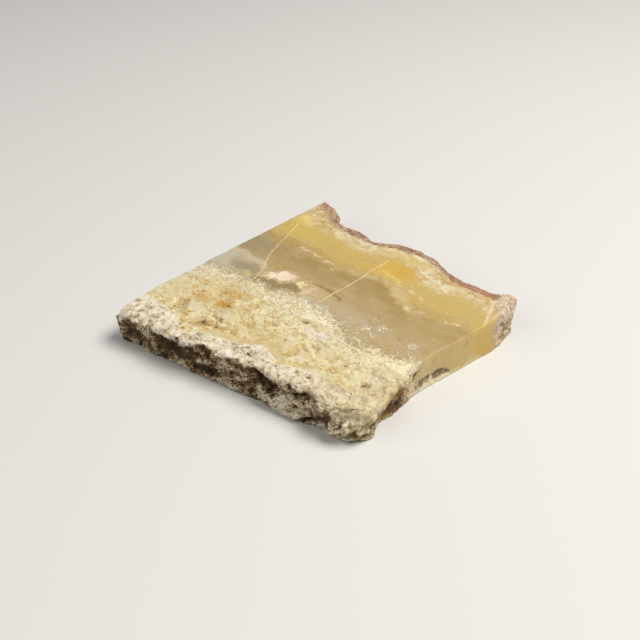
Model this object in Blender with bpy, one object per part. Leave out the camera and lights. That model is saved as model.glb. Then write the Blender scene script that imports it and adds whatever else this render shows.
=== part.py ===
"""Slab of hokkaidoite, an opal vein: one natural piece, sawn flat above, below and on
its two short sides, with a rough chalky crust along the front, a thin rusty rim along
the back and a worn knob of the rim at the back right corner.

Units are metres in the finished object; the drawing below is in millimetres.
X runs along the bands of the vein, Y across them from the crust to the rim, Z is up.
The origin is at the centre of the slab's box, on the sawn face it rests on.
"""

from math import cos, exp, hypot, pi, sin

import bmesh
import bpy
from mathutils import Vector, noise

# ---------------------------------------------------------------- driving dimensions
MM = 0.001
THICKNESS = 6.0                       # between the two sawn faces
LEFT_CUT = -20.7                      # the straight sawn side, a plane across X
SPAN_X, SPAN_Y = 41.6, 40.5           # mean width and depth of the block

CUTS_X, CUTS_Y, CUTS_Z = 60, 60, 11   # cage divisions along each edge of the block
CROWD = 0.09                          # how much the divisions crowd towards the edges

# Stations round the slab: (x, y) on the upper outline, (x, y) on the lower outline.
# Front, the crust, from the left corner to the right corner.
FRONT = [
    ((-20.7, -22.5), (-20.6, -22.1)),
    ((-19.3, -22.6), (-19.4, -21.9)),
    ((-17.5, -22.1), (-17.5, -21.3)),
    ((-15.5, -21.5), (-15.4, -21.1)),
    ((-13.0, -21.3), (-13.3, -20.8)),
    ((-10.3, -21.4), (-11.0, -20.2)),
    ((-8.0, -21.0), (-8.6, -19.7)),
    ((-5.9, -20.1), (-5.9, -19.3)),
    ((-3.9, -19.2), (-3.4, -18.9)),
    ((-1.6, -18.9), (-1.4, -18.3)),
    ((1.0, -18.0), (0.9, -17.9)),
    ((3.5, -17.6), (3.8, -17.0)),
    ((6.3, -17.0), (6.6, -16.6)),
    ((8.2, -16.4), (9.4, -16.3)),
    ((10.1, -15.9), (11.8, -15.9)),
    ((12.5, -15.7), (13.5, -15.3)),
    ((15.0, -15.9), (14.8, -14.6)),
    ((17.3, -15.7), (17.0, -14.6)),
    ((19.4, -14.9), (19.0, -14.0)),
    ((21.1, -13.5), (20.2, -12.7)),
]
# Right side, from the crust's corner back to the knob.
RIGHT = [
    ((21.1, -13.5), (20.2, -12.7)),
    ((21.8, -11.6), (21.2, -11.0)),
    ((21.6, -9.3), (20.0, -8.6)),
    ((21.1, -6.6), (20.3, -5.8)),
    ((20.6, -3.8), (20.2, -3.8)),
    ((20.2, -1.9), (19.9, -2.0)),
    ((20.1, 0.0), (19.8, -0.1)),
    ((20.1, 2.2), (20.0, 1.8)),
    ((20.3, 4.6), (20.3, 4.3)),
    ((20.7, 7.0), (20.6, 6.8)),
    ((21.0, 9.5), (20.9, 9.4)),
    ((21.2, 12.0), (21.2, 12.0)),
    ((21.3, 14.2), (21.5, 14.0)),
    ((21.5, 16.4), (21.7, 15.9)),
    ((21.6, 18.8), (21.5, 17.8)),
    ((21.4, 21.0), (21.2, 19.7)),
]
# Back, the rusty rim, from the left corner to the knob at the right corner.
BACK = [
    ((-20.7, 22.8), (-20.6, 21.6)),
    ((-18.9, 22.3), (-18.6, 21.2)),
    ((-16.8, 21.4), (-16.6, 20.4)),
    ((-15.2, 20.2), (-15.0, 19.4)),
    ((-13.9, 18.9), (-13.6, 18.4)),
    ((-12.1, 19.0), (-12.0, 18.2)),
    ((-10.1, 19.4), (-10.2, 18.6)),
    ((-8.1, 19.1), (-8.2, 18.4)),
    ((-6.2, 18.9), (-6.2, 18.0)),
    ((-4.7, 19.4), (-4.6, 18.5)),
    ((-3.3, 20.0), (-3.0, 19.2)),
    ((-2.2, 20.8), (-1.8, 19.9)),
    ((-0.4, 21.1), (-0.2, 20.0)),
    ((1.5, 21.8), (1.6, 20.7)),
    ((3.6, 21.7), (3.6, 20.9)),
    ((5.6, 21.4), (5.5, 20.4)),
    ((7.7, 20.8), (7.5, 20.1)),
    ((9.7, 20.3), (9.6, 19.2)),
    ((11.8, 19.7), (11.8, 19.0)),
    ((14.4, 20.0), (14.2, 19.2)),
    ((16.8, 20.2), (16.4, 19.3)),
    ((18.0, 20.8), (17.4, 19.6)),
    ((19.1, 22.0), (18.4, 19.9)),
    ((20.4, 22.3), (19.8, 19.8)),
    ((21.4, 21.0), (21.2, 19.7)),
]
# Left side, the plane saw cut.
LEFT = [
    ((LEFT_CUT, -22.5), (LEFT_CUT + 0.1, -22.1)),
    ((LEFT_CUT, -7.0), (LEFT_CUT + 0.1, -7.0)),
    ((LEFT_CUT, 8.0), (LEFT_CUT + 0.1, 8.0)),
    ((LEFT_CUT, 22.8), (LEFT_CUT + 0.1, 21.6)),
]

# Radius of the worn shoulder along each side: (share of the side, radius).
FRONT_WORN = [(0.0, 1.5), (0.1, 1.3), (0.2, 1.2), (0.35, 1.0), (0.6, 1.0), (0.8, 1.5), (0.9, 2.1), (1.0, 2.6)]
RIGHT_WORN = [(0.0, 2.6), (0.1, 2.0), (0.2, 1.2), (0.32, 0.4), (0.4, 0.12), (0.78, 0.12), (0.86, 0.8),
              (0.93, 1.7), (1.0, 1.7)]
BACK_WORN = [(0.0, 0.3), (0.1, 0.2), (0.5, 0.2), (0.88, 0.25), (0.93, 0.7), (1.0, 1.7)]
LEFT_WORN = [(0.0, 1.4), (0.05, 0.9), (0.12, 0.35), (0.18, 0.0), (1.0, 0.0)]

# How rough the wall is along each side: 0 sawn, 1 natural.
FRONT_ROUGH = [(0.0, 0.35), (0.08, 1.0), (1.0, 1.0)]
RIGHT_ROUGH = [(0.0, 1.0), (0.24, 1.0), (0.36, 0.0), (0.84, 0.0), (0.91, 0.9), (1.0, 1.0)]
BACK_ROUGH = [(0.0, 0.7), (1.0, 0.7)]
# Masses (+) and hollows (-) of the crust's wall: x, z, half length, half height, tilt, millimetres outwards.
FRONT_LUMPS = [
    (-19.0, 2.4, 1.3, 1.0, 0.4, -0.25), (-15.2, 5.7, 1.8, 0.35, 0.0, -0.30), (-9.8, 3.9, 3.0, 1.5, 0.1, -0.90),
    (-4.2, 5.5, 1.5, 0.8, -0.1, -0.75), (-4.0, 1.7, 1.8, 1.2, 0.0, -0.75), (0.8, 5.0, 1.8, 0.7, 0.0, -0.60),
    (5.2, 4.7, 2.6, 0.9, -0.35, -0.95), (4.2, 2.0, 0.8, 1.5, -0.3, -0.50), (12.4, 4.6, 3.0, 0.55, 0.36, -0.85),
    (14.9, 2.0, 2.6, 0.55, 0.6, -0.80), (16.9, 3.5, 0.9, 0.45, 0.3, -0.60), (19.1, 4.3, 1.0, 0.35, 0.25, -0.45),
    (20.3, 1.8, 0.35, 1.4, 0.25, -0.45),
    (-14.8, 4.2, 1.8, 1.1, 0.15, 0.60), (-14.8, 0.9, 1.7, 0.8, 0.0, 0.35), (-9.0, 1.5, 1.1, 0.4, 0.0, 0.25),
    (-3.9, 4.0, 1.4, 0.8, 0.15, 0.45), (2.2, 2.9, 1.3, 0.7, 0.0, 0.35), (5.6, 2.6, 0.8, 0.6, 0.0, 0.30),
    (9.8, 1.5, 2.8, 1.7, 0.0, 0.60), (9.9, 3.3, 1.1, 0.4, 0.1, 0.35), (18.4, 2.2, 1.5, 1.5, 0.0, 0.80),
]
# The same on the right side, with y for x: the hollow behind the crust's end, the knob's cavities.
RIGHT_LUMPS = [
    (-6.3, 2.6, 2.1, 1.5, -0.4, -1.20), (-3.8, 0.8, 1.6, 1.0, -0.6, -0.80),
    (17.4, 4.1, 0.9, 0.4, 0.3, -0.50), (18.3, 2.0, 1.2, 0.8, 0.5, -0.70),
]

REACH = 2.2               # how far in from a wall its relief is felt


# ---------------------------------------------------------------- curves
def lerp(a, b, t):
    return a + (b - a) * t


def smooth(t):
    t = max(0.0, min(1.0, t))
    return t * t * (3.0 - 2.0 * t)


def along(table, t):
    """A value read off a table of (share, value), eased between the entries."""
    for (a, va), (b, vb) in zip(table, table[1:]):
        if t <= b:
            return lerp(va, vb, smooth((t - a) / (b - a)))
    return table[-1][1]


def spline(points, t):
    """A point at share t of an open Catmull-Rom curve through the stations."""
    n = len(points) - 1
    k = min(int(t * n), n - 1)
    f = t * n - k
    p1, p2 = points[k], points[k + 1]
    p0 = points[k - 1] if k > 0 else p1 * 2 - p2
    p3 = points[k + 2] if k < n - 1 else p2 * 2 - p1
    return 0.5 * (
        2 * p1 + (p2 - p0) * f + (2 * p0 - 5 * p1 + 4 * p2 - p3) * f * f
        + (3 * p1 - p0 - 3 * p2 + p3) * f ** 3
    )


class Side:
    """One side of the slab: its upper and lower outline, walked at an even pace."""

    def __init__(self, stations):
        self.top = [Vector(a) for a, _ in stations]
        self.low = [Vector(b) for _, b in stations]
        steps = 400
        walked, self.share = 0.0, [0.0]
        last = self.top[0]
        for i in range(1, steps + 1):
            here = spline(self.top, i / steps)
            walked += (here - last).length
            self.share.append(walked)
            last = here
        self.share = [s / walked for s in self.share]

    def pace(self, t):
        lo, hi = 0, len(self.share) - 1
        while hi - lo > 1:
            mid = (lo + hi) // 2
            lo, hi = (mid, hi) if self.share[mid] <= t else (lo, mid)
        span = self.share[hi] - self.share[lo]
        return (lo + (t - self.share[lo]) / span) / (len(self.share) - 1)

    def at(self, t, up):
        s = self.pace(t)
        return lerp(spline(self.low, s), spline(self.top, s), up)


SIDES = {name: Side(rows) for name, rows in
         (("front", FRONT), ("right", RIGHT), ("back", BACK), ("left", LEFT))}


def plan(u, w, up):
    """Where share (u, w) of the block lies in plan, at share up of its height."""
    f, b = SIDES["front"].at(u, up), SIDES["back"].at(u, up)
    l, r = SIDES["left"].at(w, up), SIDES["right"].at(w, up)
    f0, f1 = SIDES["front"].at(0, up), SIDES["front"].at(1, up)
    b0, b1 = SIDES["back"].at(0, up), SIDES["back"].at(1, up)
    corners = lerp(lerp(f0, f1, u), lerp(b0, b1, u), w)
    return lerp(f, b, w) + lerp(l, r, u) - corners


def crowd(t):
    """Divisions a little closer together towards both ends."""
    return t - CROWD * sin(2 * pi * t)


# ---------------------------------------------------------------- natural relief
def worn(u, w):
    """How far the worn shoulders have dropped below the upper sawn face."""
    f = along(FRONT_WORN, u)
    r = along(RIGHT_WORN, w)
    b = along(BACK_WORN, u)
    l = along(LEFT_WORN, w)
    radius = max(f if w < 0.5 else b, r if u > 0.5 else l)
    gaps = (
        max(0.0, 1 - w * SPAN_Y / f) * radius, max(0.0, 1 - (1 - w) * SPAN_Y / b) * radius,
        max(0.0, 1 - (1 - u) * SPAN_X / r) * radius,
        max(0.0, 1 - u * SPAN_X / l) * radius if l > 0.01 else 0.0,
    )
    scales = (f, b, r, l)
    total = hypot(*gaps)
    if total <= 0.0:
        return 0.0
    size = sum(s * g for s, g in zip(scales, gaps)) / sum(gaps)
    k = min(1.0, total / radius)
    return size * (1.0 - (1.0 - k * k) ** 0.5)


def relief(p):
    """Lumps and hollows of the unsawn vein walls, in millimetres outwards."""
    lumps = noise.fractal(p / 3.4 + Vector((7.1, 2.3, 5.9)), 0.9, 2.1, 2)
    knobs = noise.fractal(p / 1.6 + Vector((1.7, 8.2, 3.1)), 0.8, 2.1, 2)
    return 0.50 * lumps + 0.22 * knobs


def hump(d, width):
    return exp(-((d / width) ** 2))


def lumps(table, a, z):
    """The masses and hollows of a wall, felt at distance a along it and height z."""
    push = 0.0
    for ca, cz, ra, rz, tilt, most in table:
        da, dz = a - ca, z - cz
        ea, ez = (da * cos(tilt) + dz * sin(tilt)) / ra, (dz * cos(tilt) - da * sin(tilt)) / rz
        push += most * exp(-(ea * ea + ez * ez))
    return push


def front_push(p):
    """The crust: its lip, its hollows, the pale masses between them and the round boss."""
    return 0.9 * relief(p) - 0.25 * hump(p.z - 3.8, 1.3) + lumps(FRONT_LUMPS, p.x, p.z)


def right_push(p):
    """The crust's end with the hollow behind it, and the rough flank of the knob."""
    return 0.9 * relief(p) + lumps(RIGHT_LUMPS, p.y, p.z)


def back_push(p):
    return 0.35 + 0.8 * relief(p) + 0.4 * noise.noise(Vector((p.x / 4.0, 9.1, p.z / 2.5)))


def chip(p):
    """The shallow lens knocked off the lower edge of the right side, inwards."""
    y, z = p.y, p.z
    return 0.35 * hump(hypot((y - 2.6) / 3.2, (z - 1.3) / 1.1), 1.0) if p.x > 15.0 else 0.0


def near(gap):
    return 1.0 - smooth((gap - 0.3) / REACH)


def displaced(p, u, w):
    """A point of the plain block moved by the relief of the walls near it."""
    low = lerp(0.45, 1.0, smooth(p.z / 0.9))
    out = Vector((0.0, 0.0, 0.0))
    out += Vector((0.18, -0.98, 0.0)) * along(FRONT_ROUGH, u) * front_push(p) * near(w * SPAN_Y)
    out += Vector((1.0, 0.0, 0.0)) * along(RIGHT_ROUGH, w) * right_push(p) * near((1 - u) * SPAN_X)
    out += Vector((0.0, 1.0, 0.0)) * along(BACK_ROUGH, u) * back_push(p) * near((1 - w) * SPAN_Y)
    out *= low
    out.x *= smooth(u * SPAN_X / 3.0)                # the left cut stays plane
    out.x -= chip(p) * near((1 - u) * SPAN_X)
    return p + out


# ---------------------------------------------------------------- the solid
def block():
    """A unit block cut into an even cage."""
    bm = bmesh.new()
    bmesh.ops.create_cube(bm, size=1.0)
    for axis, cuts in ((0, CUTS_X - 1), (1, CUTS_Y - 1), (2, CUTS_Z - 1)):
        edges = [
            e for e in bm.edges
            if abs((e.verts[0].co - e.verts[1].co).normalized()[axis]) > 0.99
        ]
        bmesh.ops.subdivide_edges(bm, edges=edges, cuts=cuts, use_grid_fill=True)
    return bm


def shape(bm):
    """The block takes the slab's outline and thickness, then the walls their relief."""
    for v in bm.verts:
        u, w, up = (min(1.0, max(0.0, c + 0.5)) for c in v.co)
        u, w = crowd(u), crowd(w)
        here = plan(u, w, up)
        plain = Vector((here.x, here.y, up * (THICKNESS - worn(u, w))))
        v.co = displaced(plain, u, w)


def flatten(bm):
    """Cage faces that lie in one sawn plane join into one face."""
    bmesh.ops.dissolve_limit(
        bm, angle_limit=0.0006, verts=bm.verts, edges=bm.edges, use_dissolve_boundaries=False
    )
    bmesh.ops.triangulate(bm, faces=bm.faces)


def opal(name):
    m = bpy.data.materials.new(name)
    m.use_nodes = True
    p = m.node_tree.nodes["Principled BSDF"]
    p.inputs["Base Color"].default_value = (0.62, 0.47, 0.20, 1.0)
    p.inputs["Roughness"].default_value = 0.38
    p.inputs["Metallic"].default_value = 0.0
    return m


def main():
    for obj in list(bpy.data.objects):
        bpy.data.objects.remove(obj, do_unlink=True)
    collection = bpy.data.collections.new("hokkaidoite_slab")
    bpy.context.scene.collection.children.link(collection)

    bm = block()
    shape(bm)
    xs = [v.co.x for v in bm.verts]
    ys = [v.co.y for v in bm.verts]
    middle = Vector(((min(xs) + max(xs)) / 2, (min(ys) + max(ys)) / 2, 0.0))
    print("box middle, mm: %.4f %.4f  size, mm: %.3f %.3f" % (
        middle.x, middle.y, max(xs) - min(xs), max(ys) - min(ys)))
    bmesh.ops.translate(bm, verts=bm.verts, vec=-middle)
    bmesh.ops.scale(bm, verts=bm.verts, vec=(MM, MM, MM))
    flatten(bm)
    bmesh.ops.recalc_face_normals(bm, faces=bm.faces)
    mesh = bpy.data.meshes.new("slab")
    bm.to_mesh(mesh)
    bm.free()
    mesh.shade_smooth()
    mesh.set_sharp_from_angle(angle=0.7)
    slab = bpy.data.objects.new("slab", mesh)
    slab.data.materials.append(opal("opal_vein"))
    collection.objects.link(slab)
    print("triangles:", len(mesh.polygons))


main()
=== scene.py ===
"""Looks for the hokkaidoite slab: one stone, rebuilt finely round its CAD solid.

The drawing below is in millimetres, as in the CAD: X along the bands, Y from the chalky
crust to the rusty rim, Z up. The mesh is shaped with the same outline and the same relief
as the solid, then the fine relief of each zone is cut into it. The colours are zones in
space, so that they run through the stone and meet on every face.
"""

import math

import bpy
import numpy as np
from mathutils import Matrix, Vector, kdtree, noise


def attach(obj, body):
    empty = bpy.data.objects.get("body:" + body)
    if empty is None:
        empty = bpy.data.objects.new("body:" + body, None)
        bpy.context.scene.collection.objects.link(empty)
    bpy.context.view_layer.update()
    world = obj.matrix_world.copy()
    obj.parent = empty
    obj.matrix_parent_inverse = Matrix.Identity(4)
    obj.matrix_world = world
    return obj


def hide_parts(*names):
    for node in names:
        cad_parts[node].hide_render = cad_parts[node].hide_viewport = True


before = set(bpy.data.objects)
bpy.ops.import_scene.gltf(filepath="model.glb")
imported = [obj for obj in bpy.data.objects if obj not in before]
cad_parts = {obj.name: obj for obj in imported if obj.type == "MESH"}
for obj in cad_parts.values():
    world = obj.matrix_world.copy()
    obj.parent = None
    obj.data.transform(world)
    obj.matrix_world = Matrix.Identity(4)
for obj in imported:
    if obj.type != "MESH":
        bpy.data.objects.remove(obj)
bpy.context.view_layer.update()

MM = 0.001
THICKNESS = 6.0
LEFT_CUT = -20.7
MIDDLE = (0.5686, 0.1713)          # middle of the part in plan, in its drawing
SPAN_X, SPAN_Y = 41.6, 40.5
REACH = 2.2
FACES = 196000                        # triangles kept in the stone

# ------------------------------------------------------------------ the outline, as in the CAD
FRONT = [
    ((-20.7, -22.5), (-20.6, -22.1)), ((-19.3, -22.6), (-19.4, -21.9)), ((-17.5, -22.1), (-17.5, -21.3)),
    ((-15.5, -21.5), (-15.4, -21.1)), ((-13.0, -21.3), (-13.3, -20.8)), ((-10.3, -21.4), (-11.0, -20.2)),
    ((-8.0, -21.0), (-8.6, -19.7)), ((-5.9, -20.1), (-5.9, -19.3)), ((-3.9, -19.2), (-3.4, -18.9)),
    ((-1.6, -18.9), (-1.4, -18.3)), ((1.0, -18.0), (0.9, -17.9)), ((3.5, -17.6), (3.8, -17.0)),
    ((6.3, -17.0), (6.6, -16.6)), ((8.2, -16.4), (9.4, -16.3)), ((10.1, -15.9), (11.8, -15.9)),
    ((12.5, -15.7), (13.5, -15.3)), ((15.0, -15.9), (14.8, -14.6)), ((17.3, -15.7), (17.0, -14.6)),
    ((19.4, -14.9), (19.0, -14.0)), ((21.1, -13.5), (20.2, -12.7)),
]
RIGHT = [
    ((21.1, -13.5), (20.2, -12.7)), ((21.8, -11.6), (21.2, -11.0)), ((21.6, -9.3), (20.0, -8.6)),
    ((21.1, -6.6), (20.3, -5.8)), ((20.6, -3.8), (20.2, -3.8)), ((20.2, -1.9), (19.9, -2.0)),
    ((20.1, 0.0), (19.8, -0.1)), ((20.1, 2.2), (20.0, 1.8)), ((20.3, 4.6), (20.3, 4.3)),
    ((20.7, 7.0), (20.6, 6.8)), ((21.0, 9.5), (20.9, 9.4)), ((21.2, 12.0), (21.2, 12.0)),
    ((21.3, 14.2), (21.5, 14.0)), ((21.5, 16.4), (21.7, 15.9)), ((21.6, 18.8), (21.5, 17.8)),
    ((21.4, 21.0), (21.2, 19.7)),
]
BACK = [
    ((-20.7, 22.8), (-20.6, 21.6)), ((-18.9, 22.3), (-18.6, 21.2)), ((-16.8, 21.4), (-16.6, 20.4)),
    ((-15.2, 20.2), (-15.0, 19.4)), ((-13.9, 18.9), (-13.6, 18.4)), ((-12.1, 19.0), (-12.0, 18.2)),
    ((-10.1, 19.4), (-10.2, 18.6)), ((-8.1, 19.1), (-8.2, 18.4)), ((-6.2, 18.9), (-6.2, 18.0)),
    ((-4.7, 19.4), (-4.6, 18.5)), ((-3.3, 20.0), (-3.0, 19.2)), ((-2.2, 20.8), (-1.8, 19.9)),
    ((-0.4, 21.1), (-0.2, 20.0)), ((1.5, 21.8), (1.6, 20.7)), ((3.6, 21.7), (3.6, 20.9)),
    ((5.6, 21.4), (5.5, 20.4)), ((7.7, 20.8), (7.5, 20.1)), ((9.7, 20.3), (9.6, 19.2)),
    ((11.8, 19.7), (11.8, 19.0)), ((14.4, 20.0), (14.2, 19.2)), ((16.8, 20.2), (16.4, 19.3)),
    ((18.0, 20.8), (17.4, 19.6)), ((19.1, 22.0), (18.4, 19.9)), ((20.4, 22.3), (19.8, 19.8)),
    ((21.4, 21.0), (21.2, 19.7)),
]
LEFT = [
    ((LEFT_CUT, -22.5), (LEFT_CUT + 0.1, -22.1)), ((LEFT_CUT, -7.0), (LEFT_CUT + 0.1, -7.0)),
    ((LEFT_CUT, 8.0), (LEFT_CUT + 0.1, 8.0)), ((LEFT_CUT, 22.8), (LEFT_CUT + 0.1, 21.6)),
]
FRONT_WORN = [(0.0, 1.5), (0.1, 1.3), (0.2, 1.2), (0.35, 1.0), (0.6, 1.0), (0.8, 1.5), (0.9, 2.1), (1.0, 2.6)]
RIGHT_WORN = [(0.0, 2.6), (0.1, 2.0), (0.2, 1.2), (0.32, 0.4), (0.4, 0.12), (0.78, 0.12), (0.86, 0.8),
              (0.93, 1.7), (1.0, 1.7)]
BACK_WORN = [(0.0, 0.3), (0.1, 0.2), (0.5, 0.2), (0.88, 0.25), (0.93, 0.7), (1.0, 1.7)]
LEFT_WORN = [(0.0, 1.4), (0.05, 0.9), (0.12, 0.35), (0.18, 0.0), (1.0, 0.0)]
FRONT_ROUGH = [(0.0, 0.35), (0.08, 1.0), (1.0, 1.0)]
RIGHT_ROUGH = [(0.0, 1.0), (0.24, 1.0), (0.36, 0.0), (0.84, 0.0), (0.91, 0.9), (1.0, 1.0)]
BACK_ROUGH = [(0.0, 0.7), (1.0, 0.7)]
# Masses (+) and hollows (-) of the crust's wall: x, z, half length, half height, tilt, millimetres outwards.
FRONT_LUMPS = [
    (-19.0, 2.4, 1.3, 1.0, 0.4, -0.25), (-15.2, 5.7, 1.8, 0.35, 0.0, -0.30), (-9.8, 3.9, 3.0, 1.5, 0.1, -0.90),
    (-4.2, 5.5, 1.5, 0.8, -0.1, -0.75), (-4.0, 1.7, 1.8, 1.2, 0.0, -0.75), (0.8, 5.0, 1.8, 0.7, 0.0, -0.60),
    (5.2, 4.7, 2.6, 0.9, -0.35, -0.95), (4.2, 2.0, 0.8, 1.5, -0.3, -0.50), (12.4, 4.6, 3.0, 0.55, 0.36, -0.85),
    (14.9, 2.0, 2.6, 0.55, 0.6, -0.80), (16.9, 3.5, 0.9, 0.45, 0.3, -0.60), (19.1, 4.3, 1.0, 0.35, 0.25, -0.45),
    (20.3, 1.8, 0.35, 1.4, 0.25, -0.45),
    (-14.8, 4.2, 1.8, 1.1, 0.15, 0.60), (-14.8, 0.9, 1.7, 0.8, 0.0, 0.35), (-9.0, 1.5, 1.1, 0.4, 0.0, 0.25),
    (-3.9, 4.0, 1.4, 0.8, 0.15, 0.45), (2.2, 2.9, 1.3, 0.7, 0.0, 0.35), (5.6, 2.6, 0.8, 0.6, 0.0, 0.30),
    (9.8, 1.5, 2.8, 1.7, 0.0, 0.60), (9.9, 3.3, 1.1, 0.4, 0.1, 0.35), (18.4, 2.2, 1.5, 1.5, 0.0, 0.80),
]
# Height at which the chalk ends on the crust's wall.
CHIP_TOP = [(-1.5, -0.2), (-0.9, 1.2), (0.0, 2.25), (1.2, 2.45), (2.6, 2.35), (3.3, 2.5), (4.5, 2.45), (5.5, 1.95),
            (6.3, 1.3), (7.0, -0.2)]
LIP_Z = [(-20.7, 3.4), (-19.6, 4.3), (-18.6, 5.2), (-18.0, 5.5), (-17.0, 5.3), (-16.0, 5.6), (-14.2, 5.75), (-13.0, 5.2), (-12.0, 5.0),
         (-11.0, 5.25), (-10.0, 5.4), (-9.3, 5.0), (-8.0, 5.2), (-7.0, 5.4), (-6.2, 5.5), (-5.6, 5.85), (-3.0, 5.9),
         (-2.0, 5.75), (-1.0, 5.5), (0.0, 5.65), (1.0, 5.6), (2.0, 5.7), (3.0, 5.8), (5.0, 5.6), (7.0, 5.65), (8.0, 5.4),
         (9.0, 5.35), (10.0, 5.6), (11.0, 5.6), (12.0, 5.35), (13.0, 5.2), (14.0, 5.45), (15.0, 5.4), (16.0, 5.0),
         (17.0, 4.8), (18.0, 4.5), (19.0, 4.3), (21.5, 4.2)]
# The same on the right side, with y for x: the hollow behind the crust's end, the knob's cavities.
RIGHT_LUMPS = [
    (-6.3, 2.6, 2.1, 1.5, -0.4, -1.20), (-3.8, 0.8, 1.6, 1.0, -0.6, -0.80),
    (17.4, 4.1, 0.9, 0.4, 0.3, -0.50), (18.3, 2.0, 1.2, 0.8, 0.5, -0.70),
]

# ------------------------------------------------------------------ the zones on the upper face: y at x
CRUST_EDGE = [(-22, -17.2), (-20, -17.0), (-16, -16.8), (-13, -17.1), (-11, -17.7), (-9.6, -19.0), (-8.2, -18.2),
              (-7.0, -17.2), (-5.0, -16.1), (-3.0, -15.6), (-1.0, -14.9), (0.5, -13.4), (2.4, -12.8), (4.5, -13.4),
              (6.0, -14.4), (7.0, -14.1), (8.0, -13.1), (9.5, -12.5), (12.0, -11.8), (13.0, -11.6), (15.0, -11.7),
              (18.0, -11.5), (20.0, -10.8), (22, -10.0)]
POROUS_EDGE = [(-22, -9.0), (-20.5, -8.5), (-18, -7.2), (-15, -6.3), (-12, -5.2), (-9, -5.0), (-6, -4.9), (-3, -4.9),
               (0, -4.7), (3, -4.9), (5, -4.5), (8, -4.2), (12, -4.2), (16, -4.5), (20, -4.5), (22, -4.5)]
GRAIN_EDGE = [(-22, -4.6), (-20.5, -4.5), (-16, -3.6), (-13, -3.4), (-11.5, -2.7), (-8, -2.6), (-6, -1.8), (-4, -0.9),
              (-2, -0.5), (0, -0.2), (2, -0.4), (4, -0.8), (6, -1.6), (8, -2.6), (10, -3.0), (12, -2.8), (14, -2.3),
              (16, -1.8), (18, -0.9), (20, -0.2), (22, 0.2)]
HONEY_EDGE = [(-22, 7.6), (-20, 7.8), (-17, 8.6), (-14, 9.0), (-6, 9.0), (-2, 9.3), (0, 9.8), (2, 10.6), (4, 10.8),
              (6, 10.0), (8, 9.0), (10, 8.6), (13, 8.8), (17, 9.6), (20, 10.2), (22, 10.6)]
RIM_EDGE = [(-22, 18.6), (-20, 17.5), (-18, 16.5), (-16.5, 15.4), (-14, 15.2), (-12, 15.6), (-11, 15.0), (-8, 14.8),
            (-5, 15.0), (-3, 16.0), (-1, 17.0), (1, 17.3), (4, 17.6), (5, 17.0), (6, 15.8), (8, 14.8), (10, 14.6),
            (12, 15.2), (14, 16.0), (16, 16.4), (18, 16.5), (20, 16.0), (22, 15.8)]
RUST_EDGE = [(-22, 21.0), (-20, 20.4), (-18, 19.6), (-16, 18.6), (-14, 17.9), (-12, 17.8), (-8, 17.7), (-5, 17.9),
             (-4, 18.4), (-2, 19.6), (0, 20.1), (2, 20.5), (4, 20.6), (6, 20.2), (8, 19.5), (10, 19.1), (11.5, 18.7),
             (14, 18.6), (16, 18.8), (18, 19.1), (22, 19.4)]
# The fine cracks: x at y.
CRACK_A = [(-4.0, -11.4), (-1.5, -12.0), (0.3, -12.7), (2.5, -14.2), (5.0, -15.5), (8.0, -16.5), (11.0, -17.5),
           (13.5, -18.5), (15.0, -19.0)]
CRACK_B = [(-5.0, -0.2), (-3.5, -0.1), (-1.0, 0.1), (0.0, 0.0), (3.0, 0.0), (6.0, 0.15), (10.0, 0.15), (12.0, -0.1),
           (14.0, 0.05), (16.5, -0.1), (18.0, -0.1)]
CRACK_C = [(11.0, 21.5), (13.5, 21.0), (15.5, 20.1), (18.0, 19.1), (20.0, 18.5), (21.0, 18.2)]
# Open pits in the porous zone: x, y, half width, half depth, turn, millimetres down.
PITS = [
    (-12.4, -8.1, 1.1, 0.40, 0.15, 0.26), (-7.6, -12.8, 0.75, 0.36, 0.1, 0.34), (-9.0, -15.2, 1.4, 0.75, 0.1, 0.24),
    (-14.3, -14.2, 1.9, 0.50, -0.8, 0.24), (7.0, -7.3, 0.35, 0.25, 0.0, 0.30), (4.5, -10.4, 0.45, 0.35, 0.3, 0.24),
    (6.9, -12.8, 0.5, 0.3, 0.0, 0.26), (17.9, -8.8, 0.8, 0.65, 0.5, 0.26), (17.1, -6.9, 0.35, 0.9, 0.4, 0.2),
    (2.0, -10.6, 0.35, 0.3, 0.0, 0.2), (10.2, -10.9, 0.35, 0.3, 0.0, 0.2), (1.9, -4.75, 0.75, 0.20, 0.1, 0.40),
    (-1.0, -4.9, 0.35, 0.14, 0.1, 0.22), (-15.9, -17.2, 0.9, 0.25, 0.2, 0.16), (-9.8, -10.3, 1.0, 0.7, 0.4, 0.14),
    (-4.4, -7.4, 0.8, 0.3, 0.6, 0.16), (-1.2, -8.3, 0.9, 0.3, -0.5, 0.15), (12.6, -7.6, 0.9, 0.3, 0.3, 0.16),
    (-10.9, -17.8, 0.35, 0.25, 0.4, 0.34), (-8.6, -20.4, 0.4, 0.25, 0.0, 0.34), (0.4, -14.6, 0.5, 0.3, 0.5, 0.24),
    (1.6, -15.5, 0.6, 0.3, -0.2, 0.28), (11.2, -13.2, 0.45, 0.25, 0.3, 0.24), (-17.6, -20.2, 0.4, 0.25, 0.0, 0.24),
]


# ------------------------------------------------------------------ curves
def smooth(t):
    t = np.clip(t, 0.0, 1.0)
    return t * t * (3.0 - 2.0 * t)


def along(table, t):
    """A value read off a table of (share, value), eased between the entries."""
    t = np.asarray(t, float)
    out = np.full(t.shape, table[-1][1], float)
    for (a, va), (b, vb) in reversed(list(zip(table, table[1:]))):
        here = t <= b
        out[here] = va + (vb - va) * smooth((t[here] - a) / (b - a))
    return out


def line(table, x):
    xs, ys = zip(*table)
    return np.interp(x, xs, ys)


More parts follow.
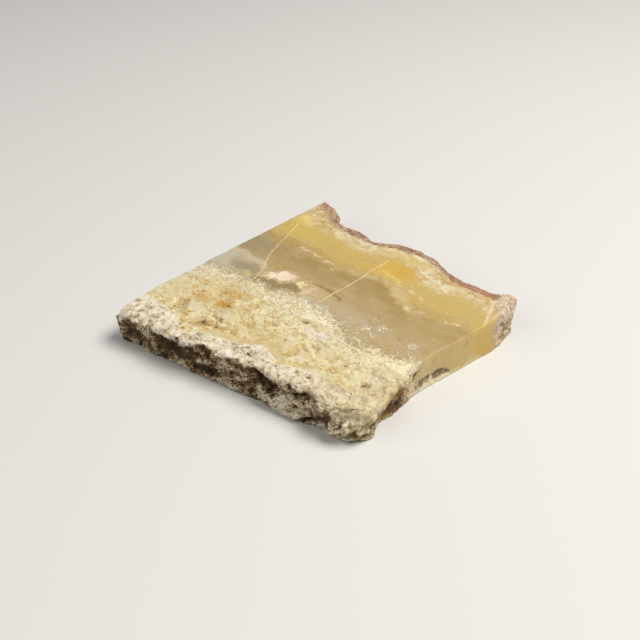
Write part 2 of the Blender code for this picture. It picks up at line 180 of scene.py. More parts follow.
def spline(points, t):
    p = np.asarray(points, float)
    n = len(p) - 1
    k = np.minimum((t * n).astype(int), n - 1)
    f = (t * n - k)[:, None]
    p1, p2 = p[k], p[k + 1]
    p0 = np.where((k > 0)[:, None], p[np.maximum(k - 1, 0)], 2 * p1 - p2)
    p3 = np.where((k < n - 1)[:, None], p[np.minimum(k + 2, n)], 2 * p2 - p1)
    return 0.5 * (2 * p1 + (p2 - p0) * f + (2 * p0 - 5 * p1 + 4 * p2 - p3) * f * f
                  + (3 * p1 - p0 - 3 * p2 + p3) * f ** 3)


class Side:
    """One side of the slab: its upper and lower outline, walked at an even pace."""

    def __init__(self, stations):
        self.top = [a for a, _ in stations]
        self.low = [b for _, b in stations]
        self.grid = np.linspace(0, 1, 401)
        pts = spline(self.top, self.grid)
        walked = np.concatenate([[0.0], np.cumsum(np.linalg.norm(np.diff(pts, axis=0), axis=1))])
        self.share = walked / walked[-1]

    def at(self, t, up):
        s = np.interp(t, self.share, self.grid)
        return spline(self.low, s) * (1 - up)[:, None] + spline(self.top, s) * up[:, None]


SIDES = {name: Side(rows) for name, rows in
         (("front", FRONT), ("right", RIGHT), ("back", BACK), ("left", LEFT))}


def plan(u, w, up):
    zero, one = np.zeros_like(u), np.ones_like(u)
    f, b = SIDES["front"].at(u, up), SIDES["back"].at(u, up)
    l, r = SIDES["left"].at(w, up), SIDES["right"].at(w, up)
    f0, f1 = SIDES["front"].at(zero, up), SIDES["front"].at(one, up)
    b0, b1 = SIDES["back"].at(zero, up), SIDES["back"].at(one, up)
    U, W = u[:, None], w[:, None]
    corners = (f0 * (1 - U) + f1 * U) * (1 - W) + (b0 * (1 - U) + b1 * U) * W
    return f * (1 - W) + b * W + l * (1 - U) + r * U - corners


def worn(u, w):
    """How far the worn shoulders have dropped below the upper sawn face."""
    f, r, b, l = along(FRONT_WORN, u), along(RIGHT_WORN, w), along(BACK_WORN, u), along(LEFT_WORN, w)
    radius = np.maximum(np.where(w < 0.5, f, b), np.where(u > 0.5, r, l))
    lsafe = np.maximum(l, 0.01)
    gaps = np.stack([
        np.maximum(0, 1 - w * SPAN_Y / f) * radius, np.maximum(0, 1 - (1 - w) * SPAN_Y / b) * radius,
        np.maximum(0, 1 - (1 - u) * SPAN_X / r) * radius,
        np.where(l > 0.01, np.maximum(0, 1 - u * SPAN_X / lsafe) * radius, 0.0)])
    scales = np.stack([f, b, r, l])
    total = np.sqrt((gaps ** 2).sum(0))
    size = (scales * gaps).sum(0) / np.maximum(gaps.sum(0), 1e-9)
    k = np.minimum(1.0, total / np.maximum(radius, 1e-9))
    return np.where(total > 0, size * (1 - np.sqrt(np.maximum(0, 1 - k * k))), 0.0)


def hump(d, width):
    return np.exp(-((d / width) ** 2))


def lumps(table, a, z):
    """The masses and hollows of a wall, felt at distance a along it and height z."""
    push = np.zeros_like(a)
    for ca, cz, ra, rz, tilt, most in table:
        da, dz = a - ca, z - cz
        ea = (da * math.cos(tilt) + dz * math.sin(tilt)) / ra
        ez = (dz * math.cos(tilt) - da * math.sin(tilt)) / rz
        push += most * np.exp(-(ea * ea + ez * ez))
    return push


# ------------------------------------------------------------------ the coarse relief, as in the CAD
def coarse(p):
    out = np.empty(len(p))
    o1, o2 = Vector((7.1, 2.3, 5.9)), Vector((1.7, 8.2, 3.1))
    fractal = noise.fractal
    for i, q in enumerate(p.tolist()):
        v = Vector(q)
        out[i] = 0.50 * fractal(v / 3.4 + o1, 0.9, 2.1, 2) + 0.22 * fractal(v / 1.6 + o2, 0.8, 2.1, 2)
    return out


def plain_noise(points):
    return np.array([noise.noise(Vector(q)) for q in points.tolist()])


def displaced(p, u, w):
    df, dr, db = w * SPAN_Y, (1 - u) * SPAN_X, (1 - w) * SPAN_Y
    near = lambda gap: 1.0 - smooth((gap - 0.3) / REACH)
    touched = np.minimum(np.minimum(df, dr), db) < REACH + 0.31
    q, u_, w_ = p[touched], u[touched], w[touched]
    df, dr, db = df[touched], dr[touched], db[touched]
    x, y, z = q.T
    r = coarse(q)
    zero = np.zeros_like(x)
    front = 0.9 * r - 0.25 * hump(z - 3.8, 1.3) + lumps(FRONT_LUMPS, x, z)
    right = 0.9 * r + lumps(RIGHT_LUMPS, y, z)
    back = 0.35 + 0.8 * r + 0.4 * plain_noise(np.stack([x / 4.0, zero + 9.1, z / 2.5], 1))
    low = 0.45 + 0.55 * smooth(z / 0.9)
    f = along(FRONT_ROUGH, u_) * front * near(df)
    g = along(RIGHT_ROUGH, w_) * right * near(dr)
    b = along(BACK_ROUGH, u_) * back * near(db)
    out = np.zeros_like(q)
    out[:, 0] = (0.18 * f + g) * low * smooth(u_ * SPAN_X / 3.0)
    out[:, 1] = (-0.98 * f + b) * low
    chip = np.where(x > 15.0, 0.35 * hump(np.hypot((y - 2.6) / 3.2, (z - 1.3) / 1.1), 1.0), 0.0)
    out[:, 0] -= chip * near(dr)
    moved = p.copy()
    moved[touched] = q + out
    return moved


# ------------------------------------------------------------------ fine noise, all points at once
def _hash(i, j, k, seed):
    n = (i * 73856093) ^ (j * 19349663) ^ (k * 83492791) ^ (seed * 961748927)
    n &= 0xFFFFFFFF
    n = ((n ^ (n >> 15)) * 0x2C1B3C6D) & 0xFFFFFFFF
    n = ((n ^ (n >> 12)) * 0x297A2D39) & 0xFFFFFFFF
    return n ^ (n >> 15)


def perlin(p, seed=0):
    i = np.floor(p).astype(np.int64)
    f = p - i
    s = f * f * f * (f * (f * 6 - 15) + 10)
    total = np.zeros(len(p))
    for a in (0, 1):
        for b in (0, 1):
            for c in (0, 1):
                h = _hash(i[:, 0] + a, i[:, 1] + b, i[:, 2] + c, seed)
                gx = (h & 1023) / 511.5 - 1
                gy = ((h >> 10) & 1023) / 511.5 - 1
                gz = ((h >> 20) & 1023) / 511.5 - 1
                dot = gx * (f[:, 0] - a) + gy * (f[:, 1] - b) + gz * (f[:, 2] - c)
                wt = ((s[:, 0] if a else 1 - s[:, 0]) * (s[:, 1] if b else 1 - s[:, 1])
                      * (s[:, 2] if c else 1 - s[:, 2]))
                total += wt * dot
    return total * 1.25


def fbm(p, octaves, seed=0, gain=0.5):
    total, amp, norm = 0.0, 1.0, 0.0
    for o in range(octaves):
        total = total + amp * perlin(p * 2.03 ** o + 17.3 * o, seed + o)
        norm += amp
        amp *= gain
    return total / norm


def ridged(p, octaves, seed=0, gain=0.55):
    total, amp, norm = 0.0, 1.0, 0.0
    for o in range(octaves):
        total = total + amp * (1 - 2 * np.abs(perlin(p * 2.07 ** o + 11.7 * o, seed + o)))
        norm += amp
        amp *= gain
    return total / norm


def cells(p, seed=0, flat=False):
    """Distance to the nearest and the second nearest of scattered points, and the nearest one's lot."""
    i = np.floor(p).astype(np.int64)
    f = p - i
    n1, n2 = np.full(len(p), 9.0), np.full(len(p), 9.0)
    lot = np.zeros(len(p))
    for a in (-1, 0, 1):
        for b in (-1, 0, 1):
            for c in ((0,) if flat else (-1, 0, 1)):
                h = _hash(i[:, 0] + a, i[:, 1] + b, i[:, 2] + c, seed)
                ox, oy, oz = (h & 1023) / 1023, ((h >> 10) & 1023) / 1023, ((h >> 20) & 1023) / 1023
                d = (a + ox - f[:, 0]) ** 2 + (b + oy - f[:, 1]) ** 2
                if not flat:
                    d = d + (c + oz - f[:, 2]) ** 2
                closer = d < n1
                n2 = np.where(closer, n1, np.minimum(n2, d))
                lot = np.where(closer, ((h * 7919) & 4095) / 4095, lot)
                n1 = np.where(closer, d, n1)
    return np.sqrt(n1), np.sqrt(n2), lot


# ------------------------------------------------------------------ the stone's mesh
def shares(stops):
    """Cage lines from (share, spacing in mm) stops over a side of a given length."""
    length, table = stops
    out, t = [0.0], 0.0
    while t < 1.0:
        step = line(table, t) / length
        t += step
        out.append(t)
    out = np.array(out)
    return out / out[-1]


def cage(us, ws, zs):
    """A block's skin as a grid of quads: points as (i, j, k), faces as quads of indices."""
    I, J, K = len(us) - 1, len(ws) - 1, len(zs) - 1
    key = lambda i, j, k: (i * (J + 1) + j) * (K + 1) + k
    quads = []

    def sheet(a, b, at, flip):
        A, B = np.meshgrid(np.arange(a), np.arange(b), indexing="ij")
        A, B = A.ravel(), B.ravel()
        q = np.stack([at(A, B), at(A + 1, B), at(A + 1, B + 1), at(A, B + 1)], 1)
        quads.append(q[:, ::-1] if flip else q)

    sheet(I, J, lambda a, b: key(a, b, K), False)
    sheet(I, J, lambda a, b: key(a, b, 0), True)
    sheet(I, K, lambda a, b: key(a, 0, b), False)
    sheet(I, K, lambda a, b: key(a, J, b), True)
    sheet(J, K, lambda a, b: key(I, a, b), False)
    sheet(J, K, lambda a, b: key(0, a, b), True)
    quads = np.concatenate(quads)
    used, index = np.unique(quads, return_inverse=True)
    quads = index.reshape(-1, 4)
    k = used % (K + 1)
    j = (used // (K + 1)) % (J + 1)
    i = used // ((K + 1) * (J + 1))
    return us[i], ws[j], zs[k], quads


def normals(p, quads):
    a, b, c, d = (p[quads[:, n]] for n in range(4))
    face = np.cross(c - a, d - b)
    out = np.zeros_like(p)
    for n in range(4):
        for ax in range(3):
            out[:, ax] += np.bincount(quads[:, n], face[:, ax], len(p))
    return out / np.maximum(np.linalg.norm(out, axis=1), 1e-12)[:, None]


def zone(value, lo, hi):
    return smooth((value - lo) / (hi - lo))


def fine_relief(p, u, w, up, quads):
    """The fine relief of each zone in mm, and what the material needs to know of it, the painted shade of its hollows
    among it.
    """
    x, y, z = p.T
    n = normals(p, quads)
    top = up >= 1.0
    bottom = up <= 0.0
    wall_part = ~(top | bottom)
    wob = 0.9 * fbm(np.stack([x, y, z], 1) / 3.0, 3, 40)
    # Zones across the bands.
    gap = y - line(CRUST_EDGE, x) + 0.8 * wob
    crust = 1 - zone(gap, -0.25, 0.25)
    side = zone(x + 0.7 * wob, 19.0, 19.8) * (1 - zone(y + wob, -2.4, -0.7))
    crust = np.maximum(crust, side)
    porous = (1 - zone(y - line(POROUS_EDGE, x) + 1.2 * wob, -0.9, 0.9)) * (1 - crust)
    grain = (1 - zone(y - line(GRAIN_EDGE, x) + 1.0 * wob, -0.6, 0.6)) * (1 - crust) * (1 - porous)
    knob = zone(x + 0.6 * wob, 18.6, 19.4) * zone(y + 0.8 * wob + 0.9 * (x - 20.0), 17.6, 18.8)
    rust = zone(y - line(RUST_EDGE, x) + 0.3 * wob, -0.15, 0.15) * (1 - knob)
    rim = zone(y - line(RIM_EDGE, x) + 1.0 * wob, -0.5, 0.8) * (1 - knob) * (1 - rust)
    natural = np.maximum.reduce([
        (w <= 0.0) * 1.0,
        (u >= 1.0) * along(RIGHT_ROUGH, w),
        (w >= 1.0) * 1.0,
    ]) * wall_part
    slope = 1 - zone(n[:, 2], 0.72, 0.985)              # worn shoulders
    d = np.zeros(len(p))
    # painted shade: how much the colour darkens in each pit, hollow and cavity of the relief
    cavity_shade = np.zeros(len(p))
    # the colour's lightness: the stone's own mottling, with painted light and shade that follow the relief
    tone_and_shade = np.full(len(p), 0.5)

    # Crust on its walls and shoulders: earthy masses, grains, ridges that climb with the vein.
    on = (crust > 0.0) & ~bottom & ((w <= 0.25) | (u >= 0.85))
    q = p[on]
    front = q[:, 1] < -9.0 - 0.2 * np.abs(q[:, 0] - 20.0)
    lump_shading = np.where(front, lumps(FRONT_LUMPS, q[:, 0], q[:, 2]), lumps(RIGHT_LUMPS, q[:, 1], q[:, 2]))
    climb = 0.16 + 0.42 * smooth((q[:, 0] - 5.0) / 5.0)
    lean = np.stack([q[:, 0] * 0.50 + 0.15 * q[:, 2], q[:, 1] * 0.8, q[:, 2] * 1.25 - climb * q[:, 0]], 1)
    warp = 0.7 * fbm(q / 2.2, 2, 33)
    strata = ridged(lean / 1.5 + warp[:, None], 4, 3)
    c1, c2, lot = cells(q / 0.85 + 0.5 * warp[:, None], 5)
    g1, g2, glot = cells(q / 0.40, 8)
    pocket = zone(fbm(lean / 1.7 + warp[:, None], 3, 21), 0.06, 0.36)
    big = fbm(q / 2.4, 3, 34)
    body = 0.34 * (strata - 0.52) + 0.30 * (0.55 - c1) + 0.15 * (0.5 - g1)
    body += 0.10 * fbm(q / 0.35, 3, 31) + 0.22 * big
    deep = 0.55 * pocket * (0.6 + 0.4 * (0.5 - c1))
    glassy = smooth((q[:, 0] - 18.4) / 1.6) * front
    facet = ridged(np.stack([(q[:, 0] - 0.5 * q[:, 2]) / 1.2, q[:, 1] / 1.4, q[:, 2] / 3.4], 1) + 0.3 * warp[:, None],
                   2, 120)
    body = body * (1 - 0.55 * glassy) + 0.45 * glassy * (facet - 0.60)
    # the chalk rolls over the shoulder and ends in a ragged lip
    lip_z = line(LIP_Z, q[:, 0]) + 0.55 * fbm(np.stack([q[:, 0] / 1.1, q[:, 1] / 3.0, 0 * q[:, 0]], 1), 3, 36)
    drop = np.where(front, zone(lip_z - q[:, 2], -0.12, 0.42), zone(5.3 - q[:, 2], 0.0, 1.4))
    wall = drop * np.maximum(wall_part[on] * 1.0, slope[on])
    east = smooth((q[:, 0] - 9.0) / 5.0)
    chalk = (0.17 + 0.17 * east) * fbm(q / 1.4, 4, 51) + 0.12 * fbm(q / 0.45, 3, 52) - 0.05
    chalk -= 0.30 * east * (1 - zone(strata, 0.38, 0.70))
    h1, h2, hlot = cells(q / 0.62, 61)
    clump = zone(fbm(q / 2.6, 2, 62), -0.05, 0.35)
    holes = zone(hlot, 0.86 - 0.22 * clump, 0.90 - 0.20 * clump) * (1 - zone(h1, 0.12, 0.30))
    chalk -= 0.30 * holes
    foot = 0.35 + 0.65 * zone(q[:, 2], 0.0, 0.5)
    d[on] = crust[on] * (wall * (body - deep) * foot + (1 - wall) * chalk)
    # The wall's tone follows its relief: masses, strata, cells and facet ridges lighter, hollows and pockets darker.
    # This is painted light and shade, laid over the crust's own brown mottling.
    t = 0.44 + 0.82 * lump_shading + 0.60 * (strata - 0.62) + 0.60 * (0.52 - c1) + 0.30 * (0.5 - g1) + 0.52 * big
    t += 0.10 * east + 0.15 * hump(q[:, 0] - 3.0, 6.0) + 0.12 * hump(q[:, 0] + 19.5, 2.6)
    t -= 0.09 * hump(q[:, 0] + 11.0, 4.5) + 0.16 * hump(q[:, 0] + 16.0, 2.5) - 0.05
    t -= 0.33 * hump(q[:, 0] - 18.2, 1.8) * hump(q[:, 2] - 1.8, 2.2) + 0.17 * hump(q[:, 0] + 17.0, 3.5)
    t += 0.22 * (1 - smooth((q[:, 0] + 20.2) / 1.4)) + 0.16 * hump(q[:, 0] - 9.9, 1.3) * hump(q[:, 2] - 3.6, 0.9)
    t += 0.12 * hump(q[:, 0] + 15.2, 1.2) * hump(q[:, 2] - 4.6, 0.8)
    t += 0.75 * glassy * (facet - 0.72)
    t -= 0.50 * pocket
    t += 0.55 * hump(q[:, 2] - 0.45, 0.60) * zone(fbm(q / 1.3, 2, 37), -0.15, 0.25)
    t = np.where(front, t, t + 0.22)
    # painted shade: the chalk darker in its holes and low spots
    chalk_tone = 0.80 + 0.5 * chalk - 0.5 * holes
    tone_and_shade[on] = wall * t + (1 - wall) * chalk_tone
    cavity_shade[on] = np.clip((1 - wall) * (0.95 * holes - 1.0 * chalk), 0, 1)
    beneath = np.zeros(len(p))
    beneath[on] = crust[on] * wall

    # Porous zone on the sawn face: swirling hollows between fine ridges, and a few open pits.
    on = (porous + grain > 0.0) & top
    q = p[on]
    flat = np.stack([q[:, 0], q[:, 1], np.zeros(len(q))], 1)
    band = q[:, 1] - line(POROUS_EDGE, q[:, 0])
    warp = np.stack([fbm(flat / 2.4, 3, 70), fbm(flat / 2.4, 3, 170), np.zeros(len(q))], 1)
    s = np.stack([q[:, 0] / 2.3, band / 1.5, np.zeros(len(q))], 1) + 1.3 * warp
    swirl = ridged(s, 4, 71, 0.6)
    fine = ridged(flat / 0.75 + 0.9 * warp, 3, 72, 0.6)
    p1, p2, plot = cells(flat / 0.8 + 0.6 * warp, 75, True)
    m1, m2, mlot = cells(flat / 0.5, 76, True)
    patch = zone(fbm(flat / 2.8, 3, 79), -0.12, 0.30)
    pits = zone(plot, 0.80, 0.92) * (1 - zone(p1, 0.12, 0.40)) * patch
    pins = zone(mlot, 0.84, 0.90) * (1 - zone(m1, 0.12, 0.34)) * patch
    hollow = 1 - zone(swirl, 0.40, 0.80)
    thread = 1 - zone(fine, 0.36, 0.80)
    named = np.zeros(len(q))
    for cx, cy, rx, ry, turn, most in PITS:
        dx, dy = q[:, 0] - cx + 0.5 * warp[:, 0], q[:, 1] - cy + 0.5 * warp[:, 1]
        ex = (dx * math.cos(turn) + dy * math.sin(turn)) / rx
        ey = (dy * math.cos(turn) - dx * math.sin(turn)) / ry
        named = np.maximum(named, most * (1 - zone(np.hypot(ex, ey), 0.45, 1.15)))
    rough = 0.45 + 0.55 * patch
    deep = 0.30 * hollow * rough + 0.09 * thread * rough + 0.28 * pits + 0.13 * pins + named
    deep += 0.022 * (0.5 - 0.5 * fbm(flat / 0.3, 2, 80))
    channel = zone(gap[on], -0.05, 0.25) * (1 - zone(gap[on], 1.0, 2.0))
    channel *= zone(q[:, 0], -8.8, -6.8) * (1 - zone(q[:, 0], 6.0, 9.0))
    deep = deep * (1 - 0.8 * channel) + 0.16 * channel
    shelf = np.zeros(len(p))
    shelf[on] = channel
    mild = 0.06 * hollow + 0.07 * thread + 0.10 * pins + 0.03 * (0.5 - 0.5 * fbm(flat / 0.22, 2, 81)) + named
    d[on] -= porous[on] * deep + grain[on] * mild
    # painted shade: the hollows, threads and pits darker in the colour
    cavity_shade[on] += np.clip(porous[on] * (0.55 * hollow * rough + 0.22 * thread + 1.6 * pits + 1.3 * pins
                                     + 3.6 * named) * 0.46 * (1 - 0.8 * channel)
                       + grain[on] * (0.5 * pins + 3.2 * named), 0, 1)
    tone_and_shade[on] = np.where(porous[on] > 0.5, 1 - np.clip(0.62 * hollow + 0.38 * thread, 0, 1), tone_and_shade[on])

    # The pits in the chalk band.
    on = (crust > 0.5) & top & (y < -11.0)
    q = p[on]
    named = np.zeros(len(q))
    for cx, cy, rx, ry, turn, most in PITS:
        if cy > -12.9 and cx < 16.0:
            continue
        dx, dy = q[:, 0] - cx, q[:, 1] - cy
        ex = (dx * math.cos(turn) + dy * math.sin(turn)) / rx
        ey = (dy * math.cos(turn) - dx * math.sin(turn)) / ry
        named = np.maximum(named, most * (1 - zone(np.hypot(ex, ey) + 0.3 * fbm(q / 0.4, 2, 39), 0.45, 1.15)))
    d[on] -= named
    # painted shade: the chalk's pits darker in the colour
    cavity_shade[on] = np.clip(cavity_shade[on] + 3.2 * named, 0, 1)

    # Rim and rust on the sawn face, and the knob: a granular skin.
    on = ((rim + rust + knob) > 0.0) & (w > 0.7) & ~bottom
    q = p[on]
    g1, g2, glot = cells(q / 0.48, 90)
    k1, k2, klot = cells(q / 0.62, 91)
    grains = 0.10 * (0.55 - g1) + 0.05 * fbm(q / 0.3, 2, 92)
    pitted = zone(glot, 0.82, 0.9) * (1 - zone(g1, 0.15, 0.4))
    d[on] += rim[on] * top[on] * (-0.02 - 0.07 * pitted + 0.15 * grains)
    d[on] += rust[on] * top[on] * (-0.07 + 0.55 * grains)
    streaks = fbm(np.stack([q[:, 0] / 0.45, q[:, 1] / 0.45, q[:, 2] / 1.6], 1), 3, 94)
    d[on] += knob[on] * (0.12 * (0.5 - k1) + 0.10 * streaks + 0.04 * fbm(q / 0.4, 3, 93))
    # painted shade: the rim's pits and the low spots of the rust and the knob darker in the colour
    cavity_shade[on] += np.clip(rim[on] * 0.7 * pitted + rust[on] * (0.35 - 3 * grains)
                       + knob[on] * (0.9 * k1 - 0.25 - 0.8 * streaks), 0, 1)

    # The rusty rear wall: a lumpy natural skin, and the knob's broken flank.
    on = ((w >= 1.0) | ((u >= 1.0) & (y > 14.5))) & wall_part
    q = p[on]
    lean = np.stack([q[:, 0] * 0.8, q[:, 1], q[:, 2] * 1.1], 1)
    b1, b2, blot = cells(lean / 0.8, 95)
    skin = 0.16 * (0.55 - b1) + 0.14 * ridged(lean / 1.6, 4, 96) - 0.08 + 0.05 * fbm(q / 0.3, 2, 97)
    rough = natural[on]
    flank = np.where((q[:, 0] > 19.0) & (q[:, 1] < 20.5), lumps(RIGHT_LUMPS, q[:, 1], q[:, 2]), 0.0)
    d[on] += rough * skin * (0.3 + 0.7 * zone(q[:, 2], 0, 0.5))
    # painted shade: the low spots of the rear skin and the knob's flank cavities darker in the colour
    cavity_shade[on] += np.clip(rough * (0.30 - 2.0 * skin - 1.1 * flank), 0, 1)

    # The waxy right side: long shallow ripples, the shell marks of its two chips, a small hole.
    on = (u >= 1.0) & wall_part
    q = p[on]
    calm = 1 - natural[on]
    s = np.stack([q[:, 1] / 3.5, q[:, 2] / 1.6, np.zeros(len(q))], 1)
    ripple = 0.05 * fbm(s, 3, 101)
    brow = line(CHIP_TOP, q[:, 1]) + 0.16 * fbm(q / 0.6, 3, 102)
    under = brow - q[:, 2]                               # how far below the chip's upper edge
    chips = zone(under, -0.04, 0.10)
    shell = np.sin(9.0 * np.hypot((q[:, 1] - 4.2) / 1.6, q[:, 2] + 0.6)) + 1.2 * fbm(q / 0.5, 3, 104)
    ribs = ridged(np.stack([q[:, 1] / 0.75, q[:, 2] / 2.2, 0 * q[:, 2]], 1), 3, 105)
    cave = 1 - zone(np.hypot((q[:, 1] - 3.9) / 1.1, (q[:, 2] - 1.75) / 0.62) + 0.3 * fbm(q / 0.6, 2, 106), 0.55, 1.1)
    dots = np.zeros(len(q))
    for cy, cz, r in ((1.35, 1.85, 0.26), (2.45, 1.75, 0.30), (0.75, 1.55, 0.22), (5.1, 1.75, 0.20)):
        dots = np.maximum(dots, 1 - zone(np.hypot(q[:, 1] - cy, q[:, 2] - cz) / r, 0.6, 1.2))
    post = hump(q[:, 1] - 2.95, 0.28)
    bite = np.minimum(under / 0.55, 1.0) * np.clip(q[:, 2] / np.maximum(brow, 0.5), 0, 1) ** 0.8
    d[on] += calm * ripple - chips * (0.24 * bite + 0.12 * cave + 0.12 * dots - 0.12 * post * (1 - cave)
                                      - 0.03 * shell * (0.4 + 0.6 * bite) - 0.08 * (ribs - 0.6))
    # The chip's tone: brown above a pale lower band; darker in its cave and pits, which is painted shade, and lighter
    # just under its brow, painted light against the shade of the cave's roof.
    ledge = q[:, 2] + 0.22 * fbm(q / 0.7, 3, 108)
    shade = 0.90 - 0.60 * zone(ledge, 0.40, 0.95) * (1 - 0.55 * post) - 0.16 * cave - 0.40 * dots
    shade += 0.20 * (1 - zone(under, 0.10, 0.55))
    shade += 0.75 * (ribs - 0.62) + 0.55 * fbm(q / 0.5, 3, 107) + 0.14 * post + 0.07 * (q[:, 1] < 2.9)
    shade += 0.30 * hump(q[:, 1] - 0.1, 0.6) * zone(q[:, 2], 0.6, 1.0) + 0.16 * hump(q[:, 1] - 5.6, 0.5)
    tone_and_shade[on] = np.where(chips > 0.3, shade, tone_and_shade[on])
    hole = np.zeros(len(q))
    for cy, cz, ry, rz in ((-1.1, 4.1, 0.55, 0.75), (-1.5, 3.3, 0.45, 0.4), (-0.4, 4.4, 0.3, 0.25)):
        e = np.hypot((q[:, 1] - cy) / ry, (q[:, 2] - cz) / rz) + 0.35 * fbm(q / 0.5, 2, 103)
        hole = np.maximum(hole, 1 - zone(e, 0.5, 1.1))
    d[on] -= 0.40 * hole
    # painted shade: the small hole darker in the colour
    cavity_shade[on] = np.clip(cavity_shade[on] + 1.2 * hole, 0, 1)
    chip = np.zeros(len(p))
    chip[on] = chips

    # Nicks along the sawn edges.
    edge_gap = np.where(top, np.minimum.reduce([u * SPAN_X, (1 - u) * SPAN_X, (1 - w) * SPAN_Y]),
                        np.minimum(9.0, (1 - up) * THICKNESS))
    run = np.stack([x, y, np.zeros(len(x))], 1)
    nick = zone(fbm(run / 0.55, 3, 110), 0.12, 0.5) * 0.24 + zone(fbm(run / 2.2, 2, 111), 0.2, 0.6) * 0.18
    lip = nick * (1 - zone(edge_gap, 0.05, 0.38)) * (1 - slope * crust) * (w > 0.02)
    low_gap = np.where(bottom, np.minimum.reduce([u * SPAN_X, (1 - u) * SPAN_X, w * SPAN_Y, (1 - w) * SPAN_Y]),
                       up * THICKNESS)
    low_gap = np.where(top, 9.0, low_gap)
    nick2 = zone(fbm(run / 0.5 + 5.0, 3, 112), 0.05, 0.45) * 0.28 + zone(fbm(run / 1.8, 2, 113), 0.1, 0.6) * 0.3
    scallop = zone(fbm(run / 1.1 + 9.0, 2, 114), -0.1, 0.3) * 0.45 * crust * (w < 0.02)
    foot = (nick2 + scallop) * (1 - zone(low_gap, 0.05, 0.6))

    away = zone(x - LEFT_CUT, 0.0, 0.7)                 # the left saw cut stays plane, its edge clean
    d = np.where(w <= 0.25, d * (0.25 + 0.75 * away), d)
    moved = p + n * d[:, None]
    moved[:, 2] = np.where(bottom, 0.0, moved[:, 2])
    flat_out = n.copy()
    flat_out[:, 2] = 0.0
    flat_out /= np.maximum(np.linalg.norm(flat_out, axis=1), 1e-6)[:, None]
    edge_wall = np.where(top | bottom, 0.4, 1.0)[:, None]
    moved -= flat_out * (lip * 0.45)[:, None] * edge_wall
    moved[:, 2] -= lip * 0.55
    moved -= flat_out * (foot * 0.7)[:, None] * np.where(np.abs(n[:, 2]) > 0.95, 0.0, 1.0)[:, None]
    moved[:, 2] = np.clip(moved[:, 2], 0.0, THICKNESS + 0.10)
    moved[:, 0] = np.maximum(moved[:, 0], LEFT_CUT)
    wall_side = (u >= 1.0) * wall_part * 1.0
    return moved, {"cavity_shade": np.clip(cavity_shade, 0, 1), "natural": np.maximum(natural, beneath), "tone_and_shade": np.clip(tone_and_shade, 0, 1),
                   "chip": chip, "side": wall_side, "beneath": beneath, "shelf": shelf,
                   "gap": np.clip(gap, -4.0, 4.0)}


def stone():
    us = shares((SPAN_X, [(0.0, 0.10), (0.04, 0.15), (0.96, 0.15), (1.0, 0.10)]))
    ws = shares((SPAN_Y, [(0.0, 0.09), (0.05, 0.13), (0.43, 0.15), (0.52, 0.28), (0.80, 0.28), (0.86, 0.15),
                          (0.96, 0.13), (1.0, 0.09)]))
    zs = shares((THICKNESS, [(0.0, 0.10), (0.15, 0.14), (0.85, 0.14), (1.0, 0.10)]))
    u, w, up, quads = cage(us, ws, zs)
    plain = plan(u, w, up)
    p = np.column_stack([plain, up * (THICKNESS - worn(u, w))])
    p = displaced(p, u, w)
    p, marks = fine_relief(p, u, w, up, quads)
    p[:, 0] -= MIDDLE[0]
    p[:, 1] -= MIDDLE[1]
    mesh = bpy.data.meshes.new("slab_stone")
    mesh.vertices.add(len(p))
    mesh.vertices.foreach_set("co", (p * MM).astype(np.float32).ravel())
    mesh.loops.add(quads.size)
    mesh.loops.foreach_set("vertex_index", quads.astype(np.int32).ravel())
    mesh.polygons.add(len(quads))
    mesh.polygons.foreach_set("loop_start", np.arange(0, quads.size, 4, dtype=np.int32))
    mesh.update(calc_edges=True)
    mesh.validate()
    for name, values in marks.items():
        a = mesh.attributes.new(name, "FLOAT", "POINT")
        a.data.foreach_set("value", values.astype(np.float32))
    obj = bpy.data.objects.new("slab_stone", mesh)
    bpy.context.scene.collection.objects.link(obj)
    before = len(quads) * 2
    if before > FACES:
        m = obj.modifiers.new("thin", "DECIMATE")
        m.ratio = FACES / before
        dg = bpy.context.evaluated_depsgraph_get()
        small = bpy.data.meshes.new_from_object(obj.evaluated_get(dg))
        obj.modifiers.clear()
        obj.data = small
        bpy.data.meshes.remove(mesh)
        small.name = "slab_stone"
    obj.data.shade_smooth()
    print("stone: %d quads -> %d faces, attributes %s" % (
        len(quads), len(obj.data.polygons), [a.name for a in obj.data.attributes]))
    return obj


